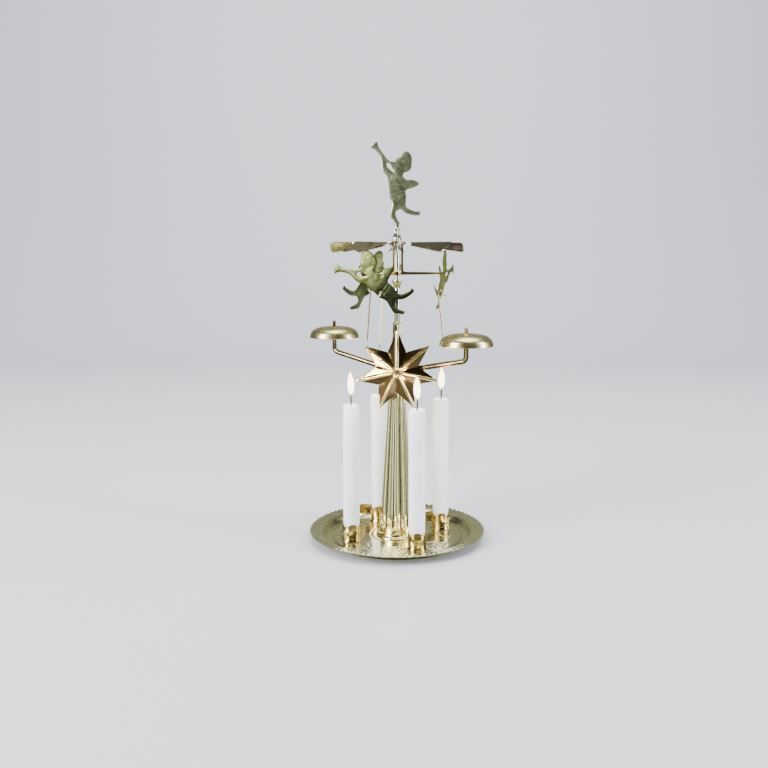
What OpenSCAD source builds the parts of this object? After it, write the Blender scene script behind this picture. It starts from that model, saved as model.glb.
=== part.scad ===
// Candle chime: a pressed tray with four candle clips and a fluted column, two bells on bent
// arms, a folded star, and a vane wheel that turns on a needle and carries hanging angels.
// Millimetres, Z up, X to the right, Y away from the viewer, origin on the axis at the ground.

/* [Metal] */
// Thickness of the pressed sheet
sheet_t = 0.5; // [0.35:0.05:0.65]
// Thickness of the flat strips of the arms and hangers
strip_t = 0.6; // [0.45:0.05:0.8]
// Diameter of the small rivets
rivet_d = 1.6; // [1.2:0.1:2]

/* [Tray] */
// Diameter over the crimped rim
tray_d = 137; // [128:1:165]
// Height of the crimped rim above the ground
tray_h = 7; // [5.5:0.1:9]
// Width of the flat rim band
rim_w = 10.5; // [7:0.5:13]
// Height of the tray floor above the ground
floor_lift = 1.2; // [0.8:0.1:2]
// Width of the foot ring pressed into the floor
foot_w = 3.5; // [2.5:0.1:5]
// Diameter of the raised centre under the column
boss_d = 22; // [18:0.5:26]
// Height of the raised centre over the floor
boss_h = 3; // [2.4:0.1:4]
// Depth of one crimp in the rim's edge
crimp_depth = 0.6; // [0.3:0.1:0.9]
// Number of crimps round the rim
crimp_count = 90; // [60:1:110]

/* [Column] */
// Diameter of the foot cup where it stands on the tray
cup_d = 32.6; // [31:0.2:39]
// Height of the foot cup
cup_h = 8.3; // [6.5:0.1:10]
// Diameter of the column at its foot
column_d = 26; // [21:0.5:26.5]
// Diameter of the column at its head
column_top_d = 6; // [5:0.1:8]
// Length of the column
column_h = 157; // [140:1:190]
// Number of flutes
flute_count = 12; // [8:1:14]
// Depth of a flute as a share of the column's radius
flute_share = 0.13; // [0.06:0.01:0.18]

/* [Tube and needle] */
// Diameter of the rod that clamps the column to the tray
rod_d = 2.4; // [2:0.1:2.9]
// Width of the nut across its flats
nut_w = 5.5; // [4.5:0.1:7]
// Diameter of the ferrule on the column's head
ferrule_d = 6.6; // [6.2:0.1:8]
// Height of the ferrule
ferrule_h = 2.2; // [1.6:0.1:3]
// Diameter of the lower tube
tube_d = 4.3; // [4.2:0.1:5.2]
// Length of the lower tube
tube_h = 26; // [22:0.5:32]
// Diameter of the upper, thinner tube
tube_thin_d = 3.7; // [3.1:0.1:4]
// Diameter of the flared stop collar
collar_d = 7.8; // [6.6:0.1:9.4]
// Height of the flared stop collar
collar_h = 5.7; // [4.5:0.1:7]
// Diameter of the needle
needle_d = 1.3; // [1:0.1:1.5]
// Length of the needle above the tube
needle_h = 14.5; // [12:0.5:17]

/* [Star] */
// Distance from the star's centre to a tip
star_r = 31.5; // [26:0.5:34]
// Distance from the star's centre to a notch
notch_r = 16.5; // [13:0.5:19]
// How far the star's centre stands out in front of its tips
star_depth = 4.5; // [3:0.1:6]
// Number of points
star_points = 7; // [5:1:9]
// Distance from the column's head down to the star's centre
star_drop = 34.7; // [30:0.5:42]

/* [Bell arms] */
// Width of the arm strip
arm_w = 4; // [3.4:0.1:5]
// Slope of the arms in degrees
arm_slope = 11.5; // [8:0.5:14]
// Inner radius of the bend under a bell
bend_r = 2.2; // [1.5:0.1:4]
// Width of the bead along an arm
bead_w = 1.1; // [0.8:0.1:1.5]
// Height of the bead over the strip's face
bead_h = 0.35; // [0.2:0.05:0.5]
// Height from the arm's root to a bell's seat
seat_rise = 30; // [26:0.5:36]
// Width of the tab that comes out of a bell
tab_w = 2.9; // [2.4:0.1:3.2]
// Height of the tab over the bell's seat
tab_h = 5.5; // [4.4:0.1:6.6]
// Direction of the left arm in degrees from the right
arm_turn = 146.3; // [140:0.1:152]

/* [Bells] */
// Diameter of a bell
bell_d = 40; // [33:0.5:44]
// Height of a bell
bell_h = 9; // [7.5:0.1:11]
// Gap between the striker's path and a bell's rim
strike_gap = 3.35; // [2.8:0.05:4.5]

/* [Candles] */
// Diameter of a candle
candle_d = 12.5; // [10.5:0.1:15]
// Length of a candle
candle_h = 105; // [85:1:108]
// Distance from the axis to a candle
candle_reach = 38; // [34:0.5:42]
// Direction of the right rear candle in degrees from the right
candle_turn = 22.9; // [15:0.1:30]
// Diameter of a wick
wick_d = 1.5; // [1.2:0.1:1.8]
// Height of a wick above the candle
wick_h = 8; // [5:0.5:10]
// Depth of the melted pool in a candle's head
pool_depth = 1.6; // [1:0.1:2.5]

/* [Candle clips] */
// Height of a clip
clip_h = 13.5; // [11:0.1:16.5]
// How far a clip's foot stands out past its cup
flange_w = 0.7; // [0.5:0.1:1]
// Length of the flat tail of a clip
tail_w = 9.4; // [8:0.1:11.3]
// Height of the flat tail of a clip
tail_h = 8.5; // [7:0.1:10]
// Number of petals round a clip's mouth
petal_count = 4; // [3:1:6]
// Height of a petal's arch
petal_h = 3.4; // [2.4:0.1:4.4]

/* [Vane wheel] */
// Diameter of the vane wheel
wheel_d = 102; // [88:1:120]
// Diameter of the wheel's flat hub
hub_d = 27; // [22:0.5:32]
// Width of a vane at its tip
vane_w = 16; // [13:0.5:18]
// Pitch of the vanes in degrees
vane_angle = 28; // [22:1:33]
// Radius of a vane's outer corners
vane_corner_r = 2.4; // [1.5:0.1:3]
// Number of vanes
vane_count = 8; // [6:1:10]
// Direction of the first vane's upper edge in degrees from the right
vane_turn = 8.5; // [0:0.5:20]
// Diameter of the crown cap at its foot
cap_d = 7.6; // [6.8:0.1:9.2]
// Diameter of the crown cap at its head
cap_top_d = 4.6; // [4.2:0.1:5.6]
// Height of the crown cap
cap_h = 13.5; // [12.5:0.1:16]
// Height of the crown cap's lower tier
cap_tier_h = 6.2; // [4.5:0.1:7.5]
// Height of the needle's point above the wheel
pivot_rise = 7.6; // [6.8:0.1:8.2]

/* [Hangers] */
// Height from the hangers' arms to the wheel
hanger_drop = 23.8; // [21:0.1:28]
// Width of a hanger's leg
leg_w = 1.6; // [1.3:0.1:2]
// Height of a hanger's arm
hanger_w = 2.4; // [2:0.1:3]
// Direction of the first hanger in degrees from the right
hanger_turn = 10.4; // [5:0.1:15]
// Running height between the stop collar and the hangers
collar_gap = 4.3; // [3:0.1:5.5]

/* [Angels] */
// Height of an angel from its toe to the top of its head
angel_h = 55.2; // [46:0.2:57]
// Distance from the axis to a hanging angel
angel_reach = 35.3; // [32:0.1:40]
// How far a hanging angel leans forward in degrees
angel_lean = 42; // [36:1:48]
// Diameter of the hole that a striker hangs in
hook_hole_d = 2; // [1.7:0.1:2.6]

/* [Strikers] */
// Diameter of the striker wire
wire_d = 1.1; // [0.9:0.05:1.25]
// Radius of the striker's hook at the middle of the wire
hook_r = 2.6; // [2.2:0.1:3.2]
// Distance from the hole down to a striker's tip
striker_drop = 42.5; // [36:0.5:46]
// Distance of a striker's tip outside the circle of angels
striker_splay = 1.9; // [1:0.1:2.6]

/* [Hidden] */
$fn = 64;

// Counts that the nodes above are written for
candle_count = 4;
angel_count = 3;

// Clearances and small reliefs
seat_gap = 0.05;
fit_gap = 0.1;
point_gap = 0.15;
cut_over = 0.2;
edge_r = 0.3;

// Tray, from the ground up
floor_z = floor_lift + sheet_t;
boss_top_z = floor_z + boss_h;
rim_r = tray_d / 2 - rim_w;
foot_out_r = rim_r - tray_h * 0.45;
foot_in_r = foot_out_r - foot_w;
crimp_steps = 4;

// Column and tube, from the tray up
cup_top_z = floor_z + cup_h;
column_top_z = cup_top_z + column_h;
ferrule_top_z = column_top_z + ferrule_h;
tube_step_z = ferrule_top_z + tube_h;
collar_top_z = tube_step_z + collar_h;
hanger_z = collar_top_z + collar_gap + hanger_w / 2;
wheel_z = hanger_z + hanger_drop;
point_z = wheel_z + pivot_rise;
tube_top_z = point_z - needle_h;
tube_bore_h = tube_h / 3;
needle_seat_h = tube_thin_d * 2;
nut_h = boss_h * 0.65;
nut_z = boss_top_z - sheet_t - nut_h;
rod_z = nut_z - sheet_t;

// Star and arms, from the column's head down
star_z = column_top_z - star_drop;
band_h = arm_w;
band_r = column_r(star_z - band_h / 2) + seat_gap;
band_out_r = band_r + strip_t;
ear_w = arm_w * 1.5;
star_y = -(notch_r + 2 * arm_w) * sin(arm_turn) - strip_t / 2;
star_head_y = star_y - sheet_t - star_depth;
spacer_d = rivet_d * 2.4;
striker_reach = angel_reach + striker_splay + wire_d / 2;
bell_reach = striker_reach + strike_gap + bell_d / 2;
bend_mid_r = bend_r + arm_w / 2;
bend_steps = 8;
bend_x = bell_reach - bend_mid_r;
bend_z = star_z + bend_x * tan(arm_slope) + bend_mid_r / cos(arm_slope) - arm_w / 2;
seat_z = star_z + seat_rise;
arm_root = band_out_r + seat_gap;

// Candles and clips
clip_base_z = floor_z + sheet_t;
candle_z = clip_base_z + seat_gap;
candle_top_z = candle_z + candle_h;
clip_r = candle_d / 2 + fit_gap;
clip_out_r = clip_r + sheet_t;
clip_top_z = floor_z + clip_h;
clip_neck_z = floor_z + clip_h * 0.17;
clip_belly_z = floor_z + clip_h * 0.45;
clip_belly = sheet_t * 0.6;
petal_steps = 5;
tail_turn = [180, 180, 100, 90];

// Wheel and what hangs from it
ring_r = tube_thin_d / 2 + tube_thin_d / 5;
ring_out_r = ring_r + strip_t;
leg_r = ring_out_r + seat_gap;
hub_hole_d = needle_d * 2.4;
cap_z = wheel_z;
crown_lobes = 8;
cap_top_z = cap_z + cap_h;
bearing_d = needle_d * 2.2;
bearing_h = needle_d * 2.4;
bearing_roof = bearing_h / 2;
foot_slot_h = sheet_t * 3;
vane_root_r = hub_d / 2 - vane_w / 8;
vane_stations = 9;
vane_cuts = [0, 0.04, 0.13, 0.5, 0.87, 0.96, 1];
hook_z = hanger_z - angel_h * 0.244;

// Shares of an angel's height, x to the figure's back and z up from the toe it stands on
angel_shares = [
    [-0.375, 1.056], [-0.280, 1.131], [-0.244, 1.047], [-0.177, 0.953], [-0.104, 0.869],
    [-0.029, 0.860], [-0.020, 0.896], [0.038, 0.925], [0.084, 0.980], [0.140, 1.000],
    [0.186, 0.962], [0.210, 0.896], [0.204, 0.803], [0.177, 0.738], [0.097, 0.701],
    [0.090, 0.652], [0.134, 0.612], [0.195, 0.615], [0.262, 0.599], [0.308, 0.561],
    [0.271, 0.523], [0.195, 0.495], [0.122, 0.462], [0.131, 0.384], [0.125, 0.290],
    [0.140, 0.235], [0.204, 0.197], [0.289, 0.177], [0.315, 0.188], [0.312, 0.127],
    [0.215, 0.127], [0.140, 0.145], [0.093, 0.174], [0.047, 0.206], [0.000, 0.188],
    [-0.018, 0.142], [0.009, 0.066], [0.038, 0.014], [0.000, 0.000], [-0.047, 0.047],
    [-0.090, 0.104], [-0.079, 0.197], [-0.066, 0.290], [-0.104, 0.384], [-0.122, 0.523],
    [-0.136, 0.654], [-0.183, 0.706], [-0.210, 0.767], [-0.220, 0.887], [-0.256, 0.957],
    [-0.314, 1.023]
];
// The gap between the figure's arm, trumpet and chest
elbow_gap_shares = [
    [-0.140, 0.832], [-0.099, 0.832], [-0.052, 0.733], [-0.066, 0.724], [-0.131, 0.785]
];
// Where a striker's hole lies in a hanging angel
hook_share = [-0.05, 0.42];
curve_steps = 3;

function unit(v) = v / norm(v);
function left_of(v) = [-v.y, v.x];

// Point i of an open line, moved to the line's left by t
function moved(line, i, t) =
    let (
        last = len(line) - 1,
        before = unit(line[max(i, 1)] - line[max(i, 1) - 1]),
        after = unit(line[min(i, last - 1) + 1] - line[min(i, last - 1)]),
        between = unit(left_of(before) + left_of(after))
    )
    line[i] + between * t / (between * left_of(before));

// Outline of a sheet that follows an open line, with its thickness to the line's left
function sheet(line, t) =
    concat(line, [for (i = [len(line) - 1 : -1 : 0]) moved(line, i, t)]);

// Point on the smooth closed curve through points, at share u past point i
function curve_point(points, i, u) =
    let (
        n = len(points),
        a = points[(i + n - 1) % n],
        b = points[i],
        c = points[(i + 1) % n],
        d = points[(i + 2) % n]
    )
    (b * 2 + (c - a) * u + (a * 2 - b * 5 + c * 4 - d) * u * u + (b * 3 - a - c * 3 + d) * u * u * u) / 2;

function smooth(points) =
    [for (i = [0 : len(points) - 1]) for (k = [0 : curve_steps - 1]) curve_point(points, i, k / curve_steps)];

// Radius of the column's flute crests at height z
function column_r(z) = (column_d + (column_top_d - column_d) * (z - cup_top_z) / column_h) / 2;

// Extrudes an outline of [distance from the axis, height] on edge, in the plane at an angle
module in_radial_plane(angle, t) {
    rotate([0, 0, angle])
        rotate([90, 0, 0])
            linear_extrude(t, center = true)
                children();
}

module ring(r_out, r_in, h) {
    difference() {
        cylinder(h = h, r = r_out);
        translate([0, 0, -cut_over])
            cylinder(h = h + 2 * cut_over, r = r_in);
    }
}

module tray() {
    rod_r = rod_d / 2 + seat_gap;
    crimp_r = tray_d / 2 - crimp_depth;
    lower = [
        [rod_r, boss_top_z - sheet_t],
        [boss_d / 2, boss_top_z - sheet_t],
        [boss_d / 2 + boss_h / 2, floor_lift],
        [foot_in_r - floor_lift, floor_lift],
        [foot_in_r, 0],
        [foot_out_r, 0],
        [foot_out_r + (rim_r - foot_out_r) * 0.35, tray_h * 0.25],
        [rim_r, tray_h * 0.75 - sheet_t],
        [rim_r + rim_w * 0.15, tray_h * 0.83 - sheet_t],
        [crimp_r - crimp_depth, tray_h - sheet_t]
    ];
    color("goldenrod") {
        rotate_extrude($fn = 128)
            polygon(sheet(lower, sheet_t));
        translate([0, 0, tray_h - sheet_t - crimp_depth / 2])
            linear_extrude(sheet_t + crimp_depth / 2)
                difference() {
                    polygon([for (i = [0 : crimp_count * crimp_steps - 1])
                        let (a = i * 360 / (crimp_count * crimp_steps))
                        (crimp_r + crimp_depth * cos(crimp_count * a)) * [cos(a), sin(a)]]);
                    circle(r = crimp_r - 2 * crimp_depth, $fn = 128);
                }
    }
}

module foot_cup() {
    r = column_d / 2;
    top_r = min(r + sheet_t, cup_d / 2 - sheet_t);
    line = [
        [cup_d / 2, floor_z],
        [cup_d / 2, floor_z + sheet_t * 1.5],
        [cup_d / 2 - (cup_d / 2 - top_r) * 0.7, floor_z + cup_h * 0.22],
        [cup_d / 2 - (cup_d / 2 - top_r) * 0.9, floor_z + cup_h * 0.4],
        [top_r, cup_top_z],
        [rod_d / 2 + seat_gap, cup_top_z]
    ];
    color("goldenrod")
        rotate_extrude($fn = 128)
            polygon(sheet(line, sheet_t));
}

// Outline of the flutes, with their crests at radius r
function flutes(r) =
    let (steps = flute_count * 8)
    [for (i = [0 : steps - 1])
        let (a = i * 360 / steps)
        r * (1 - flute_share * pow(1 - abs(cos(a * flute_count / 2)), 1.4)) * [cos(a), sin(a)]];

module column() {
    wall = sheet_t;
    bottom_r = column_d / 2;
    top_r = column_top_d / 2;
    bore_r = bottom_r - wall;
    color("gold")
        translate([0, 0, cup_top_z])
            difference() {
                linear_extrude(column_h, scale = top_r / bottom_r)
                    polygon(flutes(bottom_r));
                linear_extrude(column_h, scale = (top_r - wall) / bore_r)
                    polygon(flutes(bore_r));
            }
}

module ferrule() {
    r = ferrule_d / 2;
    color("goldenrod")
        translate([0, 0, column_top_z])
            rotate_extrude()
                polygon([
                    [rod_d / 2 + seat_gap, 0],
                    [r - edge_r, 0],
                    [r, edge_r],
                    [r, ferrule_h / 2],
                    [tube_d / 2 + edge_r, ferrule_h],
                    [rod_d / 2 + seat_gap, ferrule_h]
                ]);
}

module rod() {
    color("silver")
        translate([0, 0, rod_z])
            cylinder(h = ferrule_top_z + tube_bore_h - sheet_t - rod_z, d = rod_d);
}

module rod_nut() {
    color("silver")
        translate([0, 0, nut_z])
            difference() {
                cylinder(h = nut_h, d = nut_w / cos(30), $fn = 6);
                translate([0, 0, -cut_over])
                    cylinder(h = nut_h + 2 * cut_over, d = rod_d + 2 * seat_gap);
            }
}

module tube() {
    rod_r = rod_d / 2 + seat_gap;
    needle_r = needle_d / 2 + seat_gap / 2;
    thin_r = tube_thin_d / 2;
    color("silver")
        rotate_extrude()
            polygon([
                [rod_r, ferrule_top_z],
                [tube_d / 2, ferrule_top_z],
                [tube_d / 2, tube_step_z],
                [thin_r, tube_step_z],
                [thin_r, tube_top_z - edge_r],
                [thin_r - edge_r, tube_top_z],
                [needle_r, tube_top_z],
                [needle_r, tube_top_z - needle_seat_h],
                [0, tube_top_z - needle_seat_h],
                [0, ferrule_top_z + tube_bore_h],
                [rod_r, ferrule_top_z + tube_bore_h]
            ]);
}

module stop_collar() {
    bore_r = tube_thin_d / 2 + seat_gap / 2;
    root_r = tube_d / 2 + edge_r;
    lip_r = collar_d / 2;
    color("goldenrod")
        translate([0, 0, tube_step_z])
            rotate_extrude()
                polygon([
                    [bore_r, 0],
                    [root_r, 0],
                    [root_r + (lip_r - root_r) * 0.18, collar_h * 0.35],
                    [root_r + (lip_r - root_r) * 0.5, collar_h * 0.65],
                    [lip_r, collar_h * 0.88],
                    [lip_r - edge_r / 2, collar_h],
                    [lip_r - edge_r * 2, collar_h],
                    [bore_r + sheet_t, collar_h * 0.7],
                    [bore_r, collar_h * 0.7]
                ]);
}

module needle() {
    cone_h = needle_d * 2.6;
    tip_r = needle_d / 12;
    color("lightgray")
        rotate_extrude()
            polygon([
                [0, tube_top_z - needle_seat_h + seat_gap],
                [needle_d / 2, tube_top_z - needle_seat_h + seat_gap],
                [needle_d / 2, point_z - cone_h],
                [tip_r, point_z],
                [0, point_z]
            ]);
}

// Tips and notches in turn, counter-clockwise from the upper tip
function star_outline(z) =
    [for (i = [0 : 2 * star_points - 1])
        let (a = 90 + i * 180 / star_points, r = i % 2 == 0 ? star_r : notch_r)
        [r * cos(a), r * sin(a), z]];

module star() {
    n = 2 * star_points;
    points = concat(
        [[0, 0, star_depth + sheet_t]], star_outline(sheet_t),
        [[0, 0, star_depth]], star_outline(0)
    );
    back = n + 1;
    faces = concat(
        [for (i = [0 : n - 1]) [0, 1 + (i + 1) % n, 1 + i]],
        [for (i = [0 : n - 1]) [back, back + 1 + i, back + 1 + (i + 1) % n]],
        [for (i = [0 : n - 1])
            [1 + i, 1 + (i + 1) % n, back + 1 + (i + 1) % n, back + 1 + i]]
    );
    color("gold")
        translate([0, star_y, star_z])
            rotate([90, 0, 0])
                difference() {
                    polyhedron(points, faces);
                    cylinder(h = 2 * star_depth, d = rivet_d + 2 * seat_gap);
                }
}

module star_spacer() {
    front_y = star_head_y + sheet_t + spacer_d * star_depth / notch_r;
    color("goldenrod")
        translate([0, -band_out_r - seat_gap, star_z])
            rotate([90, 0, 0])
                ring(spacer_d / 2, rivet_d / 2 + seat_gap, -band_out_r - seat_gap - front_y);
}

module star_rivet() {
    head_r = rivet_d * 0.95;
    head_h = rivet_d * 0.4;
    length = -band_out_r - seat_gap - star_head_y;
    color("dimgray")
        translate([0, -band_out_r - seat_gap, star_z])
            rotate([90, 0, 0])
                rotate_extrude()
                    polygon([
                        [0, 0],
                        [rivet_d / 2, 0],
                        [rivet_d / 2, length + seat_gap],
                        [head_r, length + seat_gap],
                        [head_r * 0.75, length + head_h * 0.7],
                        [0, length + head_h]
                    ]);
}

// A band round the column with one flat ear beside the root of each arm
module arm_band() {
    color("goldenrod") {
        translate([0, 0, star_z - band_h / 2])
            ring(band_out_r, band_r, band_h);
        for (turn = [arm_turn, arm_turn + 180])
            rotate([0, 0, turn])
                difference() {
                    translate([band_r + strip_t / 2, strip_t / 2 + seat_gap, star_z - band_h / 2])
                        cube([ear_w, strip_t, band_h]);
                    arm_rivet_axis(seat_gap);
                }
    }
}

// A pin across the arm's root, in a frame whose x runs along the arm
module arm_rivet_axis(gap) {
    translate([arm_root + ear_w / 2, -strip_t, star_z])
        rotate([-90, 0, 0])
            cylinder(h = strip_t * 3.2, d = rivet_d + 2 * gap);
}

// One long side of an arm in [distance from the axis, height], r away from the bend's centre
function arm_side(r, start, top_z) =
    concat(
        [[bend_x, bend_z] + unit([-cos(arm_slope), -sin(arm_slope)]) * (bend_x - start) / cos(arm_slope)
            + r * [sin(arm_slope), -cos(arm_slope)]],
        [for (i = [0 : bend_steps])
            let (a = (arm_slope - 90) * (1 - i / bend_steps))
            [bend_x, bend_z] + r * [cos(a), sin(a)]],
        [[bend_x + r, top_z]]
    );

// Outline of an arm of width w from the distance start, with the points of top at its end
function arm_outline(w, start, top_z, top = []) =
    let (inner = arm_side(bend_mid_r - w / 2, start, top_z))
    concat(
        arm_side(bend_mid_r + w / 2, start, top_z),
        top,
        [for (i = [len(inner) - 1 : -1 : 0]) inner[i]]
    );

module arm(turn) {
    tab = [
        [bell_reach + tab_w / 2, seat_z],
        [bell_reach + tab_w / 2, seat_z + tab_h],
        [bell_reach - tab_w / 2, seat_z + tab_h],
        [bell_reach - tab_w / 2, seat_z]
    ];
    color("gold")
        difference() {
            union() {
                in_radial_plane(turn, strip_t)
                    polygon(arm_outline(arm_w, arm_root, seat_z, tab));
                in_radial_plane(turn, strip_t + 2 * bead_h)
                    polygon(arm_outline(bead_w, arm_root + ear_w + arm_w / 2, seat_z - arm_w / 2));
            }
            rotate([0, 0, turn])
                arm_rivet_axis(seat_gap);
        }
}

module arm_left() {
    arm(arm_turn);
}

module arm_right() {
    arm(arm_turn + 180);
}

module arm_rivet(turn) {
    head_h = strip_t * 0.6;
    color("dimgray")
        rotate([0, 0, turn])
            translate([arm_root + ear_w / 2, -strip_t / 2 - head_h - seat_gap, star_z])
                rotate([-90, 0, 0]) {
                    cylinder(h = head_h, d = rivet_d * 1.7);
                    cylinder(h = 2 * head_h + 2 * strip_t + 3 * seat_gap, d = rivet_d);
                    translate([0, 0, head_h + 2 * strip_t + 3 * seat_gap])
                        cylinder(h = head_h, d = rivet_d * 1.7);
                }
}

module arm_rivet_left() {
    arm_rivet(arm_turn);
}

module arm_rivet_right() {
    arm_rivet(arm_turn + 180);
}

// A flat-topped dome with a hole for the tab and a small rolled rim
module bell(turn) {
    r = bell_d / 2 - sheet_t;
    h = bell_h - sheet_t;
    hole_r = tab_w / 2 + fit_gap;
    steps = 12;
    dome = [for (i = [0 : steps - 1])
        let (a = i * 90 / steps)
        [r * pow(cos(a), 0.62), -bell_h + h * pow(sin(a), 0.85)]];
    line = concat(dome, [[r * 0.2, -sheet_t], [hole_r, -sheet_t]]);
    color("gold")
        rotate([0, 0, turn])
            translate([bell_reach, 0, seat_z + seat_gap + sheet_t])
                rotate_extrude($fn = 128) {
                    polygon(sheet([for (i = [len(line) - 1 : -1 : 0]) line[i]], sheet_t));
                    translate([r + sheet_t / 2, -bell_h + sheet_t / 2])
                        circle(r = sheet_t * 0.8, $fn = 24);
                }
}

module bell_left() {
    bell(arm_turn);
}

module bell_right() {
    bell(arm_turn + 180);
}

module at_candle(i) {
    rotate([0, 0, candle_turn + i * 360 / candle_count])
        translate([candle_reach, 0, 0])
            rotate([0, 0, -candle_turn - i * 360 / candle_count])
                children();
}

// The gap between the round arches of two petals, cut from the axis outwards
module petal_gap() {
    reach = 0.85 * 180 / petal_count;
    corner = clip_out_r * sin(reach);
    rotate([90, 0, 90])
        linear_extrude(2 * clip_out_r)
            polygon(concat(
                [for (k = [-petal_steps : petal_steps])
                    let (short = 1 - abs(k) / petal_steps)
                    [clip_out_r * sin(reach * k / petal_steps), clip_top_z - petal_h * (1 - sqrt(1 - short * short))]],
                [[corner, clip_top_z + cut_over], [-corner, clip_top_z + cut_over]]
            ));
}

// A rolled sheet cup with a small foot, a neck, a petalled mouth and a flat upright tail
module clip(i) {
    color("gold")
        at_candle(i)
            rotate([0, 0, tail_turn[i]]) {
                difference() {
                    rotate_extrude()
                        polygon([
                            [0, floor_z],
                            [clip_out_r + flange_w, floor_z],
                            [clip_out_r + flange_w, floor_z + sheet_t],
                            [clip_out_r, clip_neck_z],
                            [clip_out_r + clip_belly, clip_belly_z],
                            [clip_out_r, clip_top_z],
                            [clip_r, clip_top_z],
                            [clip_r + clip_belly, clip_belly_z],
                            [clip_r, clip_neck_z],
                            [clip_r, clip_base_z],
                            [0, clip_base_z]
                        ]);
                    for (k = [0 : petal_count - 1])
                        rotate([0, 0, (k + 0.5) * 360 / petal_count])
                            petal_gap();
                }
                translate([clip_r + sheet_t * 0.8, -sheet_t / 2, clip_top_z - tail_h])
                    cube([tail_w, sheet_t, tail_h]);
            }
}

module clip_1() {
    clip(0);
}

module clip_2() {
    clip(1);
}

module clip_3() {
    clip(2);
}

module clip_4() {
    clip(3);
}

// A straight candle with a rounded shoulder and a shallow melted pool
module candle(i) {
    r = candle_d / 2;
    h = candle_h;
    wick_r = wick_d / 2 + seat_gap;
    color("white")
        at_candle(i)
            translate([0, 0, candle_z])
                rotate_extrude()
                    polygon([
                        [0, 0],
                        [r - edge_r, 0],
                        [r, edge_r],
                        [r, h - pool_depth],
                        [r * 0.97, h - pool_depth * 0.3],
                        [r * 0.9, h],
                        [r * 0.8, h - pool_depth * 0.15],
                        [r * 0.6, h - pool_depth * 0.75],
                        [r * 0.35, h - pool_depth],
                        [wick_r, h - pool_depth],
                        [wick_r, h - pool_depth - wick_h / 2],
                        [0, h - pool_depth - wick_h / 2]
                    ]);
}

module candle_1() {
    candle(0);
}

module candle_2() {
    candle(1);
}

module candle_3() {
    candle(2);
}

module candle_4() {
    candle(3);
}

module wick(i) {
    bottom_z = candle_top_z - pool_depth - wick_h / 2 + seat_gap;
    color("dimgray")
        at_candle(i)
            translate([0, 0, bottom_z])
                rotate_extrude()
                    polygon([
                        [0, 0],
                        [wick_d / 2, 0],
                        [wick_d / 2, candle_top_z + wick_h - wick_d - bottom_z],
                        [wick_d / 4, candle_top_z + wick_h - bottom_z],
                        [0, candle_top_z + wick_h - bottom_z]
                    ]);
}

module wick_1() {
    wick(0);
}

module wick_2() {
    wick(1);
}

module wick_3() {
    wick(2);
}

module wick_4() {
    wick(3);
}

// Point of a vane at distance r from the axis and s across it; its upper edge is s = 0
function vane_point(r, s, down) =
    let (
        twist = min(1, (r - vane_root_r) / (vane_w / 3)),
        pitch = vane_angle * twist * twist * (3 - 2 * twist),
        across = s * cos(pitch) - down * sin(pitch)
    )
    [sqrt(r * r - across * across), -across, -s * sin(pitch) - down * cos(pitch)];

// How far a vane's rounded end falls short of the wheel's circle, at a share of its width
function vane_trim(cut) =
    vane_corner_r - sqrt(pow(vane_corner_r, 2) - pow(max(0, vane_corner_r - vane_w * min(cut, 1 - cut)), 2));

// One vane, twisted out of the hub's plane at its root and cut to the wheel's circle
module vane() {
    out_r = wheel_d / 2;
    last = vane_stations - 1;
    shares = [for (i = [0 : last]) i < 4 ? i * 0.05 : 0.15 + (i - 3) * 0.85 / (last - 3)];
    cols = len(vane_cuts);
    points = [for (down = [0, sheet_t]) for (share = shares) for (cut = vane_cuts)
        let (r = vane_root_r + (out_r - vane_trim(cut) - vane_root_r) * share)
        vane_point(r, vane_w * r / out_r * cut, down)];
    half = vane_stations * cols;
    top = [for (i = [0 : last - 1]) for (k = [0 : cols - 2]) let (p = i * cols + k)
        each [[p, p + cols, p + 1], [p + 1, p + cols, p + cols + 1]]];
    rim = concat(
        [for (k = [0 : cols - 1]) k],
        [for (i = [1 : last]) i * cols + cols - 1],
        [for (k = [cols - 2 : -1 : 0]) last * cols + k],
        [for (i = [last - 1 : -1 : 1]) i * cols]
    );
    n = len(rim);
    bottom = [for (f = top) [f[2] + half, f[1] + half, f[0] + half]];
    sides = [for (i = [0 : n - 1]) let (a = rim[i], b = rim[(i + 1) % n])
        each [[a, b, a + half], [b, b + half, a + half]]];
    polyhedron(points, concat(top, bottom, sides));
}

module vane_wheel() {
    color("darkgoldenrod")
        translate([0, 0, wheel_z]) {
            translate([0, 0, -sheet_t])
                ring(hub_d / 2, hub_hole_d / 2, sheet_t);
            for (i = [0 : vane_count - 1])
                rotate([0, 0, vane_turn + i * 360 / vane_count])
                    vane();
        }
}

// A star-shaped outline with crown_lobes shallow flutes and its crests at radius r
function crown_flutes(r) =
    let (steps = crown_lobes * 6)
    [for (i = [0 : steps - 1])
        let (a = i * 360 / steps)
        (r - edge_r + edge_r * abs(sin(a * crown_lobes / 2))) * [cos(a), sin(a)]];

// A fluted crown in two tiers, with a blind bore for the needle and a slot for the figure's foot
module crown_cap() {
    r = cap_d / 2;
    core_r = (cap_d + cap_top_d) / 4;
    color("goldenrod")
        translate([0, 0, cap_z])
            difference() {
                union() {
                    linear_extrude(cap_h, scale = cap_top_d / 2 / core_r)
                        polygon(crown_flutes(core_r));
                    linear_extrude(cap_tier_h, scale = 0.87)
                        polygon(crown_flutes(r));
                    cylinder(h = sheet_t * 1.5, r = r + edge_r);
                }
                translate([0, 0, -cut_over])
                    cylinder(h = pivot_rise + bearing_roof + seat_gap + cut_over, d = bearing_d + 2 * seat_gap);
                translate([-cap_top_d, -sheet_t / 2 - seat_gap, cap_h - foot_slot_h])
                    cube([2 * cap_top_d, sheet_t + 2 * seat_gap, 2 * foot_slot_h]);
            }
}

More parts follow.
